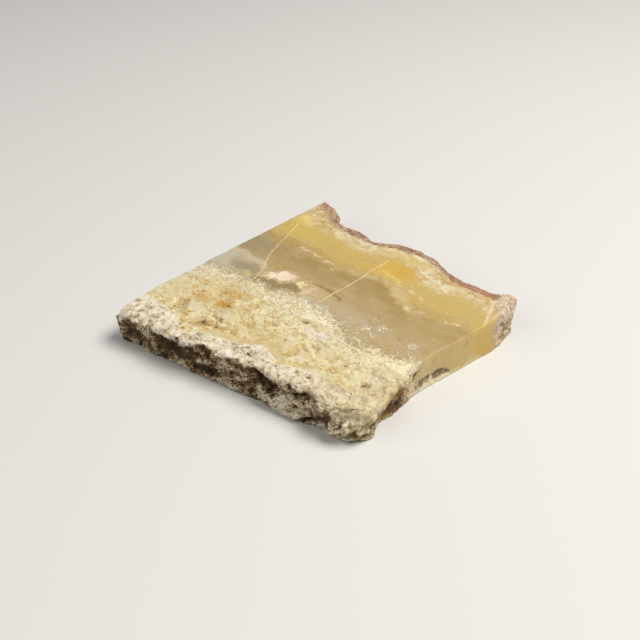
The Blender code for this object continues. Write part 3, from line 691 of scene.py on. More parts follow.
# ------------------------------------------------------------------ the material
class Graph:
    """Short names for shader nodes; every method returns an output socket."""

    def __init__(self, tree):
        self.tree, self.nodes = tree, tree.nodes

    def put(self, socket, value):
        if isinstance(value, bpy.types.NodeSocket):
            self.tree.links.new(value, socket)
        elif isinstance(value, (tuple, list)) and len(value) == 3 and socket.type == "RGBA":
            socket.default_value = (*value, 1.0)
        else:
            socket.default_value = value

    def math(self, op, a, b=0.0, c=0.0, clamp=False):
        n = self.nodes.new("ShaderNodeMath")
        n.operation, n.use_clamp = op, clamp
        for i, v in enumerate((a, b, c)):
            self.put(n.inputs[i], v)
        return n.outputs[0]

    def add(self, a, b):
        return self.math("ADD", a, b)

    def sub(self, a, b):
        return self.math("SUBTRACT", a, b)

    def mul(self, a, b):
        return self.math("MULTIPLY", a, b)

    def top(self, a, b):
        return self.math("MAXIMUM", a, b)

    def less(self, a, b):
        return self.math("MINIMUM", a, b)

    def inv(self, a):
        return self.math("SUBTRACT", 1.0, a)

    def vec(self, x, y, z):
        n = self.nodes.new("ShaderNodeCombineXYZ")
        for i, v in enumerate((x, y, z)):
            self.put(n.inputs[i], v)
        return n.outputs[0]

    def parts(self, v):
        n = self.nodes.new("ShaderNodeSeparateXYZ")
        self.put(n.inputs[0], v)
        return n.outputs

    def wander(self, v, scale, detail, rough, reach):
        """A vector that drifts by about reach either way."""
        colour = self.noise(v, scale, detail, rough, out=1)
        n = self.nodes.new("ShaderNodeSeparateColor")
        self.put(n.inputs[0], colour)
        return self.weigh(self.vec(*n.outputs), reach, -reach / 2)

    def scaled(self, v, s=(1.0, 1.0, 1.0), plus=(0.0, 0.0, 0.0)):
        n = self.nodes.new("ShaderNodeMapping")
        self.put(n.inputs["Vector"], v)
        n.inputs["Scale"].default_value = s
        n.inputs["Location"].default_value = plus
        return n.outputs[0]

    def shifted(self, v, by):
        return self.scaled(v, (1.0, 1.0, 1.0), by)

    def weigh(self, v, k, plus=0.0):
        n = self.nodes.new("ShaderNodeVectorMath")
        n.operation = "MULTIPLY_ADD"
        self.put(n.inputs[0], v)
        n.inputs[1].default_value = (k,) * 3
        n.inputs[2].default_value = (plus,) * 3
        return n.outputs[0]

    def sum(self, a, b):
        n = self.nodes.new("ShaderNodeVectorMath")
        n.operation = "ADD"
        self.put(n.inputs[0], a)
        self.put(n.inputs[1], b)
        return n.outputs[0]

    def noise(self, v, scale=1.0, detail=3.0, rough=0.5, distortion=0.0, out=0, kind=None):
        n = self.nodes.new("ShaderNodeTexNoise")
        n.noise_dimensions = "3D"
        if kind:
            n.noise_type = kind
        self.put(n.inputs["Vector"], v)
        n.inputs["Scale"].default_value = scale
        n.inputs["Detail"].default_value = detail
        n.inputs["Roughness"].default_value = rough
        n.inputs["Distortion"].default_value = distortion
        return n.outputs[out]

    def cell(self, v, scale=1.0, feature="F1", out="Distance", random=1.0):
        n = self.nodes.new("ShaderNodeTexVoronoi")
        n.feature = feature
        self.put(n.inputs["Vector"], v)
        n.inputs["Scale"].default_value = scale
        n.inputs["Randomness"].default_value = random
        return n.outputs[out]

    def step(self, v, lo, hi, to_lo=0.0, to_hi=1.0):
        n = self.nodes.new("ShaderNodeMapRange")
        n.interpolation_type, n.clamp = "SMOOTHSTEP", False
        self.put(n.inputs["Value"], v)
        n.inputs["From Min"].default_value = lo
        n.inputs["From Max"].default_value = hi
        n.inputs["To Min"].default_value = to_lo
        n.inputs["To Max"].default_value = to_hi
        return n.outputs["Result"]

    def curve(self, v, table):
        """A drawn line through (v, value) points, both in mm between -24 and 24."""
        share = self.math("MULTIPLY_ADD", v, 1 / 48, 0.5)
        n = self.nodes.new("ShaderNodeFloatCurve")
        self.put(n.inputs["Value"], share)
        c = n.mapping.curves[0]
        pts = [((a + 24) / 48, (b + 24) / 48) for a, b in table]
        pts = [(0.0, pts[0][1])] * (pts[0][0] > 0.001) + pts + [(1.0, pts[-1][1])] * (pts[-1][0] < 0.999)
        c.points[0].location, c.points[1].location = pts[0], pts[-1]
        for q in pts[1:-1]:
            c.points.new(*q)
        for q in c.points:
            q.handle_type = "AUTO"
        n.mapping.update()
        return self.math("MULTIPLY_ADD", n.outputs[0], 48.0, -24.0)

    def mix(self, fac, a, b):
        n = self.nodes.new("ShaderNodeMix")
        n.data_type = "RGBA"
        self.put(n.inputs[0], fac)
        self.put(n.inputs[6], a)
        self.put(n.inputs[7], b)
        return n.outputs[2]

    def blend(self, fac, a, b):
        n = self.nodes.new("ShaderNodeMix")
        n.data_type = "FLOAT"
        self.put(n.inputs[0], fac)
        self.put(n.inputs[2], a)
        self.put(n.inputs[3], b)
        return n.outputs[0]

    def ramp(self, fac, stops):
        n = self.nodes.new("ShaderNodeValToRGB")
        self.put(n.inputs[0], fac)
        e = n.color_ramp.elements
        while len(e) < len(stops):
            e.new(0.5)
        for el, (pos, col) in zip(e, stops):
            el.position, el.color = pos, (*col, 1.0)
        return n.outputs[0]

    def attr(self, name):
        n = self.nodes.new("ShaderNodeAttribute")
        n.attribute_name = name
        return n.outputs["Fac"]


def rgb(r, g, b):
    """A colour given as a screen shows it."""
    f = lambda c: ((c / 255 + 0.055) / 1.055) ** 2.4 if c > 10 else c / 255 / 12.92
    return (f(r), f(g), f(b))


def opal():
    m = bpy.data.materials.new("opal_vein_stone")
    m.use_nodes = True
    tree = m.node_tree
    g = Graph(tree)
    p = tree.nodes["Principled BSDF"]
    coord = tree.nodes.new("ShaderNodeTexCoord").outputs["Object"]
    P = g.scaled(coord, (1000.0, 1000.0, 1000.0), (MIDDLE[0], MIDDLE[1], 0.0))
    x, y, z = g.parts(P)
    # the painted shade of the hollows and the tone, carried on the mesh
    cavity_shade, tone_and_shade = g.attr("cavity_shade"), g.attr("tone_and_shade")
    side, beneath, chip = g.attr("side"), g.attr("beneath"), g.attr("chip")

    # The zones wander: smooth features softly, granular ones with ragged edges.
    w_wide = g.wander(P, 0.28, 2, 0.5, 3.6)
    w_mid = g.wander(g.shifted(P, (31.0, 7.0, 3.0)), 0.85, 3, 0.6, 3.0)
    w_fine = g.wander(g.shifted(P, (5.0, 71.0, 13.0)), 3.2, 3, 0.62, 1.7)
    Ps = g.sum(P, g.sum(w_wide, g.weigh(w_mid, 0.35)))
    Pr = g.sum(P, g.sum(g.weigh(w_wide, 0.7), g.sum(w_mid, w_fine)))
    xs, ys, zs = g.parts(Ps)
    xr, yr, zr = g.parts(Pr)
    S2, R2 = g.scaled(Ps, (1.0, 1.0, 0.0)), g.scaled(Pr, (1.0, 1.0, 0.0))
    Pr = g.scaled(Pr)
    dust = g.sub(g.noise(P, 2.6, 3, 0.68), 0.5)          # grains about 0.3 mm
    dust2 = g.sub(g.noise(g.shifted(P, (11.0, 2.0, 4.0)), 5.2, 2, 0.7), 0.5)

    d_honey = g.sub(ys, g.curve(xs, HONEY_EDGE))
    d_crust = g.add(g.math("MULTIPLY_ADD", dust, 1.7, g.attr("gap")), g.mul(dust2, 1.3))
    d_porous = g.sub(yr, g.curve(xr, POROUS_EDGE))
    d_grain = g.sub(yr, g.curve(xr, GRAIN_EDGE))
    d_rim = g.sub(yr, g.curve(xr, RIM_EDGE))
    d_rust = g.sub(g.add(y, g.mul(g.sub(yr, y), 0.6)), g.curve(x, RUST_EDGE))
    beside = g.mul(g.step(xr, 19.0, 19.6), g.step(yr, -1.6, -0.7, 1.0, 0.0))
    w_crust = g.top(g.step(d_crust, -0.22, 0.22, 1.0, 0.0), beside)
    w_porous = g.step(g.math("MULTIPLY_ADD", dust, 5.0, d_porous), -0.9, 0.9, 1.0, 0.0)
    w_grain = g.step(g.math("MULTIPLY_ADD", dust, 9.0, d_grain), -0.7, 0.7, 1.0, 0.0)
    w_rim = g.step(g.math("MULTIPLY_ADD", dust, 4.0, d_rim), -0.9, 1.5)
    w_rust = g.step(d_rust, -0.12, 0.22)
    w_knob = g.mul(g.step(g.add(xr, g.mul(g.sub(y, 20.0), 0.50)), 18.2, 18.7),
                   g.step(g.add(g.add(yr, g.mul(g.sub(x, 20.0), 0.9)), g.mul(g.mul(side, g.step(z, 4.2, 5.9, 1.0, 0.0)), g.math("MULTIPLY_ADD", dust, 6.0, 1.2))), 17.4, 18.2))

    def blot(v, cx, cy, rx, ry, turn=0.0, soft=0.35, most=1.0):
        """A rounded patch on plane coordinates v, with ragged or soft edges as v has them."""
        n = tree.nodes.new("ShaderNodeMapping")
        n.vector_type = "TEXTURE"
        g.put(n.inputs["Vector"], v)
        n.inputs["Location"].default_value = (cx, cy, 0.0)
        n.inputs["Rotation"].default_value = (0.0, 0.0, turn)
        n.inputs["Scale"].default_value = (rx * (1 + soft), ry * (1 + soft), 1.0)
        k = tree.nodes.new("ShaderNodeTexGradient")
        k.gradient_type = "SPHERICAL"
        g.put(k.inputs[0], n.outputs[0])
        return g.step(k.outputs["Fac"], 0.0, 2 * soft / (1 + soft), 0.0, most)

    def streak(table, wide, soft, most=1.0, lumps=None, v=None):
        """A streak along a drawn line, as long as its table; lumps = (threshold, spread) of its dashes."""
        ax, ay = v or (xs, ys)
        d = g.math("ABSOLUTE", g.sub(ay, g.curve(ax, table)))
        lo, hi = table[0][0], table[-1][0]
        fade = min(1.2, (hi - lo) * 0.3)
        ends = g.mul(g.step(ax, lo, lo + fade), g.step(ax, hi - fade, hi, most, 0.0))
        out = g.mul(g.step(d, wide, wide + soft, 1.0, 0.0), ends)
        if lumps:
            run = g.noise(g.scaled(P, (0.9, 1.6, 1.0)), 1.0, 3, 0.6)
            out = g.mul(out, g.step(run, lumps[0], lumps[0] + lumps[1]))
        return out

    # ---- smooth opal: beige next to the grains, grey-brown, then honey.
    s_band = g.vec(g.mul(xs, 0.085), g.mul(d_honey, 0.55), g.mul(z, 0.3))
    flow = g.sub(g.noise(s_band, 1.4, 4, 0.58, 0.5), 0.5)
    across = g.add(g.math("MULTIPLY_ADD", d_honey, 1 / 20, 0.5), g.mul(flow, 0.30))
    col = g.ramp(across, [
        (0.00, rgb(182, 164, 127)), (0.20, rgb(178, 156, 113)), (0.35, rgb(170, 146, 97)), (0.455, rgb(166, 141, 90)),
        (0.53, rgb(185, 159, 100)), (0.60, rgb(197, 171, 105)), (0.78, rgb(200, 174, 107)), (0.90, rgb(205, 182, 117))])
    cloud = g.noise(g.scaled(P, (0.5, 1.0, 0.6)), 0.5, 3, 0.5, 0.3)
    col = g.mix(g.step(cloud, 0.47, 0.64, 0.0, 0.42), col, rgb(188, 170, 128))
    col = g.mix(g.step(x, 3.0, 19.0, 0.0, 0.25), col, rgb(190, 167, 120))

    def paint(col, mask, r, gr, b):
        return g.mix(mask, col, rgb(r, gr, b))

    col = paint(col, blot(S2, -19.8, 4.6, 4.2, 2.8, 0.1, 0.6, 0.65), 158, 145, 116)
    col = paint(col, blot(S2, 3.4, 9.3, 3.4, 1.2, 0.05, 0.5, 0.45), 160, 135, 86)
    col = paint(col, blot(S2, -16.2, 13.0, 3.6, 2.3, -0.1, 0.7, 0.60), 205, 180, 97)
    col = paint(col, blot(S2, -3.5, 12.2, 4.6, 1.5, 0.05, 0.6, 0.50), 200, 170, 95)
    col = paint(col, blot(S2, 15.0, 13.0, 5.0, 1.6, 0.0, 0.6, 0.50), 199, 174, 103)
    col = paint(col, blot(S2, -18.4, 16.0, 1.5, 1.3, 0.0, 0.7, 0.80), 229, 207, 134)
    pool = g.mul(blot(S2, 2.4, 14.6, 3.9, 2.3, 0.0, 0.45, 0.90), g.step(x, -0.3, 0.5, 0.45, 1.0))
    col = paint(col, pool, 208, 173, 90)
    col = paint(col, g.mul(blot(S2, 4.0, 15.7, 2.0, 1.2, 0.1, 0.7, 0.60), pool), 204, 163, 82)
    col = paint(col, streak([(0.2, 12.7), (1.4, 13.4), (3.0, 13.7), (4.5, 13.2), (6.0, 12.8)], 0.04, 0.40, 0.60), 231, 208, 132)
    col = paint(col, streak([(0.3, 11.9), (2.5, 12.6), (4.6, 12.3), (7.0, 11.8)], 0.05, 0.40, 0.40), 222, 197, 126)

    # Milky streaks: dashes at the join of grey and honey, the long bend on the right.
    pale = (211, 191, 148)
    col = paint(col, streak([(-14.5, 8.9), (-10.0, 8.9), (-5.0, 8.9), (-1.0, 9.3)], 0.10, 1.3, 0.35), 195, 175, 128)
    col = paint(col, streak([(-2.5, 9.8), (0.0, 10.1), (1.6, 10.8), (3.6, 11.3), (5.6, 11.0), (7.2, 10.2), (8.6, 9.3),
                             (10.5, 8.7), (14.0, 8.7)], 0.15, 1.15, 0.62, (0.36, 0.2)), *pale)
    col = paint(col, blot(S2, 7.4, 10.3, 1.8, 0.9, -0.55, 0.6, 0.45), 204, 188, 150)
    col = paint(col, streak([(5.0, 12.3), (8.0, 12.0), (11.8, 11.4)], 0.04, 0.40, 0.60, (0.44, 0.12)), 226, 208, 158)
    col = paint(col, streak([(-13.5, 11.5), (-11.0, 11.1), (-8.0, 10.6)], 0.04, 0.40, 0.40, (0.44, 0.12)), 218, 196, 132)
    col = paint(col, streak([(-14.2, 9.15), (-10.5, 9.3), (-7.5, 9.2), (-5.4, 9.0)], 0.03, 0.50, 0.62, (0.40, 0.20)), 232, 214, 172)
    col = paint(col, streak([(-3.8, 9.5), (-2.4, 9.6), (-1.2, 9.7)], 0.04, 0.26, 0.55), 220, 200, 154)
    col = paint(col, streak([(8.3, 8.95), (10.5, 8.6), (13.6, 8.75)], 0.05, 0.28, 0.70, (0.46, 0.12)), 232, 216, 174)
    col = paint(col, streak([(15.4, 10.2), (17.5, 10.3), (20.3, 9.8)], 0.04, 0.20, 0.75, (0.48, 0.08)), 244, 231, 198)
    col = paint(col, blot(R2, -4.8, 7.95, 0.42, 0.22, 0.3, 0.5, 0.8), 236, 216, 168)

    # The pale bluish sheen on the left end, a painted reflection; the grey pockets, the white blob and its neighbours.
    # painted reflection: a pale bluish sheen over the left end of the smooth opal
    col = paint(col, blot(S2, -20.2, -1.4, 4.6, 3.0, -0.25, 0.45, 0.85), 193, 185, 166)
    col = paint(col, streak([(-22.0, 1.2), (-17.0, 1.5), (-12.8, 0.6)], 0.25, 0.9, 0.70), 204, 190, 160)
    col = paint(col, blot(S2, -15.3, -1.1, 2.8, 1.25, 0.03, 0.35, 0.90), 160, 148, 122)
    col = paint(col, blot(S2, 3.0, 0.8, 6.6, 1.5, -0.05, 0.6, 0.55), 194, 175, 140)
    col = paint(col, blot(S2, -3.4, 1.1, 3.4, 1.8, 0.15, 0.5, 0.70), 199, 175, 134)
    col = paint(col, g.top(blot(S2, -9.4, -1.5, 3.1, 0.95, 0.22, 0.30, 0.92), blot(S2, -6.0, 0.1, 2.3, 0.9, 0.42, 0.35, 0.92)),
                151, 130, 93)
    col = paint(col, blot(S2, -10.7, 2.6, 2.0, 0.5, 0.0, 0.6, 0.60), 188, 148, 82)
    mist = blot(S2, -9.3, 0.9, 2.9, 1.3, 0.52, 0.45, 0.45)
    col = paint(col, mist, 208, 186, 148)
    blob = blot(R2, -9.3, 0.9, 2.35, 0.92, 0.52, 0.34, 0.97)
    brushed = g.noise(g.scaled(P, (0.55, 2.6, 1.0)), 1.0, 4, 0.6)
    col = paint(col, blob, 226, 206, 178)
    col = paint(col, g.mul(blob, g.step(brushed, 0.40, 0.58)), 243, 229, 206)
    col = paint(col, g.mul(blob, blot(S2, -8.1, 1.9, 1.2, 0.5, 0.5, 0.7, 0.45)), 232, 200, 178)
    col = paint(col, blot(R2, -5.0, 1.25, 0.85, 0.36, -0.5, 0.35, 0.90), 240, 221, 178)
    col = paint(col, blot(R2, -4.6, 2.8, 0.60, 0.30, 0.2, 0.45, 0.80), 234, 214, 164)
    col = paint(col, g.top(blot(R2, -3.2, 0.6, 1.1, 0.85, 0.4, 0.4, 0.75), blot(R2, -2.9, 1.9, 0.4, 0.9, -0.2, 0.5, 0.70)),
                222, 200, 172)
    col = paint(col, streak([(-5.2, 2.3), (-3.6, 3.0), (-1.6, 3.45), (0.4, 3.2), (2.5, 2.6)], 0.03, 0.30, 0.80), 146, 113, 58)
    col = paint(col, streak([(-4.6, 2.6), (-3.2, 3.0), (-1.4, 3.7), (0.2, 3.6)], 0.03, 0.24, 0.50, (0.46, 0.1)), 160, 124, 62)
    col = paint(col, blot(R2, -13.5, -2.6, 1.05, 0.75, 0.1, 0.45, 0.85), 199, 190, 124)

    # Orange and brown flecks near the right side, a few dark specks in the grey.
    mottle = g.step(dust, -0.03, 0.06)
    flecks = g.top(blot(R2, 15.8, 2.3, 1.8, 0.6, 0.1, 0.5, 0.75), blot(R2, 19.7, 2.0, 1.0, 0.5, 0.0, 0.5, 0.80))
    col = paint(col, g.mul(flecks, mottle), 172, 140, 66)
    flecks = g.top(blot(R2, 16.2, -0.8, 1.9, 0.6, 0.0, 0.5, 0.85), blot(R2, 12.6, -1.3, 3.0, 0.6, 0.0, 0.6, 0.55))
    col = paint(col, g.mul(flecks, mottle), 190, 154, 84)
    dots = g.top(blot(R2, 8.8, 6.5, 0.16, 0.14), g.top(blot(R2, 10.3, 6.1, 0.20, 0.13), blot(R2, 15.7, 6.2, 0.18, 0.14)))
    col = paint(col, g.mul(dots, 0.7), 120, 92, 50)

    # ---- rim: pale blotches and specks in honey.
    r1 = g.noise(g.vec(g.mul(xr, 0.50), g.mul(yr, 0.85), g.mul(z, 0.6)), 1.0, 4, 0.60, 0.5)
    rim = g.ramp(g.add(r1, g.mul(dust, 0.36)), [
        (0.38, rgb(188, 160, 104)), (0.45, rgb(196, 171, 116)), (0.52, rgb(206, 185, 140)), (0.58, rgb(221, 206, 172)),
        (0.66, rgb(233, 222, 196))])
    rim = paint(rim, blot(S2, 1.0, 18.6, 4.6, 1.4, 0.15, 0.6, 0.55), 212, 194, 132)
    rim = paint(rim, blot(S2, -8.0, 16.4, 4.0, 1.2, 0.0, 0.6, 0.35), 218, 202, 168)
    rim = paint(rim, blot(S2, 12.0, 16.8, 3.2, 0.9, 0.0, 0.6, 0.35), 223, 209, 180)
    col = g.mix(w_rim, col, rim)

    # ---- granular band: pale grains crowding into the smooth stone.
    tint = g.ramp(g.math("MULTIPLY_ADD", xs, 1 / 44, 0.5), [
        (0.04, rgb(214, 204, 176)), (0.20, rgb(228, 212, 170)), (0.38, rgb(217, 200, 156)), (0.55, rgb(218, 205, 168)),
        (0.72, rgb(226, 206, 160)), (0.97, rgb(248, 231, 190))])
    gn = g.noise(g.scaled(P, (0.62, 1.3, 1.0), (3.0, 3.0, 8.0)), 2.3, 5, 0.74, 0.7)
    grain = g.mix(g.step(gn, 0.52, 0.60, 0.0, 0.90), tint, rgb(247, 240, 214))
    grain = g.mix(g.step(gn, 0.42, 0.49, 0.85, 0.0), grain, rgb(176, 155, 108))
    grain = g.mix(g.step(dust2, 0.04, 0.11, 0.0, 0.60), grain, rgb(252, 246, 224))
    grain = g.mix(g.step(dust2, -0.13, -0.06, 0.55, 0.0), grain, rgb(158, 136, 92))
    # painted shade: the grains darker in their pits
    grain = g.mix(g.step(cavity_shade, 0.35, 0.90, 0.0, 0.90), grain, rgb(98, 76, 44))
    grain = g.mix(g.step(cavity_shade, 0.85, 1.0, 0.0, 0.80), grain, rgb(48, 32, 16))
    col = g.mix(w_grain, col, grain)

    # ---- porous zone: cream ridges and threads, tan hollows, their tan partly the stone's and partly painted shade.
    fl = g.noise(g.vec(g.mul(xr, 0.55), g.mul(yr, 0.85), g.mul(z, 0.6)), 1.5, 5, 0.68, 1.1)
    thread = g.math("ABSOLUTE", g.sub(g.noise(g.shifted(Pr, (8.0, 1.0, 2.0)), 0.95, 3, 0.6, 0.8), 0.5))
    thread = g.step(thread, 0.0, 0.045, 1.0, 0.0)
    # painted shade: the tone darkens the hollows
    por = g.ramp(g.add(g.mul(g.sub(tone_and_shade, 0.42), 0.40), g.add(g.math("MULTIPLY_ADD", fl, 1.25, -0.125), g.mul(dust, 0.26))), [
        (0.33, rgb(190, 148, 76)), (0.42, rgb(214, 180, 106)), (0.50, rgb(229, 202, 136)), (0.57, rgb(242, 220, 160)),
        (0.65, rgb(255, 244, 204))])
    por = g.mix(g.mul(thread, g.step(x, -12.0, -4.0, 0.80, 0.50)), por, rgb(251, 239, 198))
    por = g.mix(g.step(x, 6.0, 12.0, 0.0, 0.28), por, rgb(240, 220, 170))
    por = g.mix(g.step(g.noise(P, 0.36, 3, 0.5), 0.52, 0.66, 0.0, 0.30), por, rgb(213, 194, 142))
    por = g.mix(g.step(dust2, 0.07, 0.13, 0.0, 0.42), por, rgb(253, 244, 214))
    por = g.mix(g.step(dust2, -0.16, -0.09, 0.30, 0.0), por, rgb(182, 150, 94))
    por = g.mix(g.step(g.math("MULTIPLY_ADD", dust, 0.9, g.attr("shelf")), 0.2, 0.9, 0.0, 0.80), por, rgb(232, 207, 151))
    por = paint(por, blot(S2, 1.0, -11.3, 6.5, 1.3, 0.15, 0.5, 0.45), 219, 191, 132)
    por = paint(por, blot(S2, -12.6, -9.4, 6.2, 3.6, -0.05, 0.6, 0.42), 224, 190, 116)
    por = paint(por, blot(R2, -9.0, -15.4, 1.5, 0.85, 0.1, 0.4, 0.75), 208, 166, 104)
    por = paint(por, blot(R2, -12.6, -15.8, 2.7, 0.50, -0.80, 0.4, 0.70), 206, 174, 112)
    por = paint(por, blot(R2, -10.7, -15.9, 1.5, 0.32, 0.60, 0.4, 0.70), 242, 222, 168)
    por = paint(por, blot(R2, -7.7, -12.9, 0.75, 0.45, 0.1, 0.4, 0.80), 158, 122, 66)
    por = paint(por, blot(R2, -8.7, -11.8, 1.5, 0.65, 0.1, 0.4, 0.65), 217, 199, 162)
    por = paint(por, blot(R2, -8.4, -6.9, 1.4, 0.50, 0.2, 0.5, 0.60), 224, 203, 124)
    por = paint(por, g.top(blot(R2, -8.2, -8.3, 1.3, 0.35, 0.5, 0.4, 0.70), blot(R2, -2.4, -7.7, 1.9, 0.35, 0.4, 0.4, 0.75)),
                252, 238, 196)
    por = paint(por, blot(R2, -9.6, -10.1, 1.35, 1.05, 0.3, 0.4, 0.88), 210, 163, 62)
    por = paint(por, blot(R2, -10.0, -7.4, 2.8, 0.8, 0.55, 0.5, 0.70), 212, 171, 76)
    por = paint(por, blot(R2, -11.4, -5.9, 2.4, 0.6, 0.1, 0.5, 0.55), 210, 176, 88)
    por = paint(por, blot(R2, -13.9, -11.3, 1.2, 0.9, 0.0, 0.6, 0.55), 220, 175, 104)
    por = paint(por, blot(R2, -12.8, -13.3, 1.9, 0.7, 0.1, 0.4, 0.75), 240, 229, 194)
    por = paint(por, blot(R2, -18.6, -12.5, 2.8, 2.6, 0.0, 0.6, 0.45), 222, 206, 164)
    por = paint(por, blot(R2, 8.0, -5.7, 2.6, 0.42, -0.05, 0.5, 0.75), 232, 215, 172)
    por = paint(por, blot(R2, 19.2, -7.5, 2.6, 5.0, 0.0, 0.45, 0.62), 231, 217, 182)
    por = paint(por, g.mul(blot(R2, 17.9, -8.4, 1.0, 1.1, 0.4, 0.4, 0.70), g.step(cavity_shade, 0.05, 0.5)), 196, 150, 112)
    # painted shade: the porous zone darker in its hollows and pits
    por = g.mix(g.step(cavity_shade, 0.30, 0.95, 0.0, 0.90), por, rgb(132, 92, 42))
    por = g.mix(g.step(cavity_shade, 0.85, 1.0, 0.0, 0.70), por, rgb(66, 44, 18))
    col = g.mix(w_porous, col, por)
    strand = g.noise(g.scaled(Pr, (0.20, 1.7, 1.0)), 1.0, 4, 0.60, 0.3)
    strands = g.mul(g.mul(g.step(d_porous, -5.0, -2.0), g.step(d_grain, -1.2, 0.2, 1.0, 0.0)), g.step(x, -4.0, 2.0, 0.5, 1.0))
    strands = g.mul(strands, g.inv(w_crust))
    col = paint(col, g.mul(strands, g.step(strand, 0.50, 0.56, 0.0, 0.75)), 251, 242, 212)
    col = paint(col, g.mul(strands, g.step(strand, 0.42, 0.46, 0.50, 0.0)), 190, 163, 112)
    pocket = blot(R2, 5.0, -5.5, 2.2, 0.75, 0.20, 0.35, 0.95)
    col = paint(col, pocket, 234, 218, 190)
    col = paint(col, g.mul(pocket, g.step(brushed, 0.40, 0.54)), 254, 244, 234)

    # ---- rusty rim and the knob.
    rs = g.noise(g.vec(g.mul(xr, 0.5), g.mul(d_rust, 1.7), g.mul(z, 0.8)), 1.6, 5, 0.68, 0.4)
    rust = g.ramp(g.add(rs, g.mul(dust, 0.45)), [
        (0.36, rgb(122, 90, 70)), (0.45, rgb(148, 112, 90)), (0.53, rgb(170, 135, 110)), (0.60, rgb(204, 180, 156))])
    rust = g.mix(g.step(x, 8.0, 12.0, 0.0, 0.35), rust, rgb(178, 124, 86))
    rust = g.mix(g.mul(g.step(x, -16.0, -13.0, 0.85, 0.0), g.step(rs, 0.36, 0.50)), rust, rgb(193, 163, 130))
    # painted shade: the rust darker in its low spots
    rust = g.mix(g.step(cavity_shade, 0.40, 0.95, 0.0, 0.5), rust, rgb(112, 82, 62))
    col = g.mix(w_rust, col, rust)
    kn = g.noise(g.scaled(Pr, (1.0, 1.0, 0.45)), 1.9, 4, 0.72, 0.2)
    knob = g.ramp(g.add(kn, g.mul(dust2, 0.5)), [
        (0.36, rgb(146, 108, 82)), (0.44, rgb(189, 161, 134)), (0.52, rgb(205, 183, 158)), (0.60, rgb(228, 216, 200))])
    knob = g.mix(g.step(zr, 2.6, 4.6, 0.60, 0.0), knob, g.ramp(kn, [
        (0.40, rgb(150, 116, 64)), (0.48, rgb(196, 168, 116)), (0.56, rgb(232, 216, 176))]))
    # painted shade: the knob darker in its cavities
    knob = g.mix(g.step(cavity_shade, 0.40, 0.95, 0.0, 0.75), knob, rgb(104, 74, 36))
    col = g.mix(w_knob, col, knob)

    # ---- chalky crust, and the earthy wall beneath it.
    ch = g.noise(P, 1.05, 6, 0.70, 0.3)
    chalk = g.ramp(ch, [
        (0.34, rgb(126, 102, 71)), (0.41, rgb(189, 169, 134)), (0.48, rgb(229, 214, 183)), (0.58, rgb(254, 246, 226))])
    chalk = g.mix(g.step(dust2, -0.15, -0.08, 0.45, 0.0), chalk, rgb(150, 128, 96))
    chalk = g.mix(g.step(xr, 8.0, 15.0, 0.0, 0.60), chalk, g.ramp(fl, [
        (0.40, rgb(174, 146, 92)), (0.50, rgb(218, 200, 154)), (0.58, rgb(253, 243, 216))]))
    clump = g.noise(g.shifted(P, (2.0, 12.0, 2.0)), 0.42, 2, 0.5)
    lip = g.mul(g.step(d_crust, -0.55, -0.15), g.step(xr, 8.0, 12.0, 0.55, 0.0))
    chalk = g.mix(lip, chalk, rgb(253, 244, 221))
    chalk = g.mix(g.step(xr, 16.0, 19.5, 0.0, 0.38), chalk, rgb(184, 168, 122))
    crumbs = g.mul(g.step(dust2, 0.015, 0.08), g.top(g.mul(g.step(clump, 0.50, 0.62, 0.0, 0.45), g.step(x, 6.0, 12.0, 1.0, 0.0)),
                                                   blot(R2, 0.6, -15.3, 2.4, 1.1, 0.3, 0.5, 1.0)))
    chalk = g.mix(crumbs, chalk, rgb(104, 82, 54))
    cut = streak([(-11.2, -17.4), (-10.4, -18.3), (-9.5, -19.4), (-8.3, -20.9)], 0.04, 0.22, 0.75, None, (xr, yr))
    chalk = g.mix(cut, chalk, rgb(104, 80, 52))
    # painted shade: the chalk darker in its holes
    chalk = g.mix(g.mul(g.step(cavity_shade, 0.25, 0.85), g.step(x, 9.0, 15.0, 0.90, 0.45)), chalk, rgb(92, 69, 42))
    wn = g.noise(g.scaled(Pr, (0.8, 0.9, 1.2)), 1.5, 5, 0.70, 0.3)
    loud = g.step(xr, 18.6, 20.6, 1.9, 1.0)
    # The wall's colour from its tone: its own brown mottling, with painted shade in its hollows and painted light on
    # its masses.
    wt = g.add(tone_and_shade, g.mul(g.add(g.sub(wn, 0.5), dust2), loud))
    wall = g.ramp(wt, [
        (0.04, rgb(58, 36, 15)), (0.20, rgb(97, 68, 35)), (0.36, rgb(133, 103, 66)), (0.52, rgb(169, 142, 103)),
        (0.68, rgb(216, 194, 155)), (0.84, rgb(254, 243, 216))])
    grit = g.noise(P, 2.5, 3, 0.6)
    wall = g.mix(g.mul(g.step(grit, 0.38, 0.49, 0.50, 0.0), g.step(wt, 0.42, 0.60, 0.0, 1.0)), wall, rgb(112, 84, 52))
    olive = g.step(g.noise(P, 0.5, 3, 0.55), 0.50, 0.64, 0.0, 0.55)
    wall = g.mix(g.mul(olive, g.step(wt, 0.25, 0.65, 1.0, 0.0)), wall, rgb(110, 88, 42))
    corner = g.step(xr, 19.2, 20.6, 0.0, 0.60)
    wall = g.mix(g.mul(corner, g.step(wt, 0.15, 0.4)), wall, rgb(206, 189, 146))
    XZ = g.scaled(g.vec(xr, zr, 0.0))
    before = g.step(yr, -17.0, -15.0, 1.0, 0.0)
    wall = g.mix(g.mul(g.mul(before, blot(XZ, 18.0, 2.2, 2.2, 2.0, 0.0, 0.5, 0.70)), g.step(wt, 0.68, 0.86, 1.0, 0.0)),
                 wall, rgb(136, 119, 76))
    wall = g.mix(g.mul(blot(XZ, 20.6, 0.5, 1.9, 1.1, 0.0, 0.5, 0.80), g.step(wt, 0.75, 0.95, 1.0, 0.0)), wall, rgb(124, 110, 58))
    crust = g.mix(beneath, chalk, wall)
    YZ = g.scaled(g.vec(yr, zr, 0.0))
    right_end = g.step(x, 18.0, 18.6)
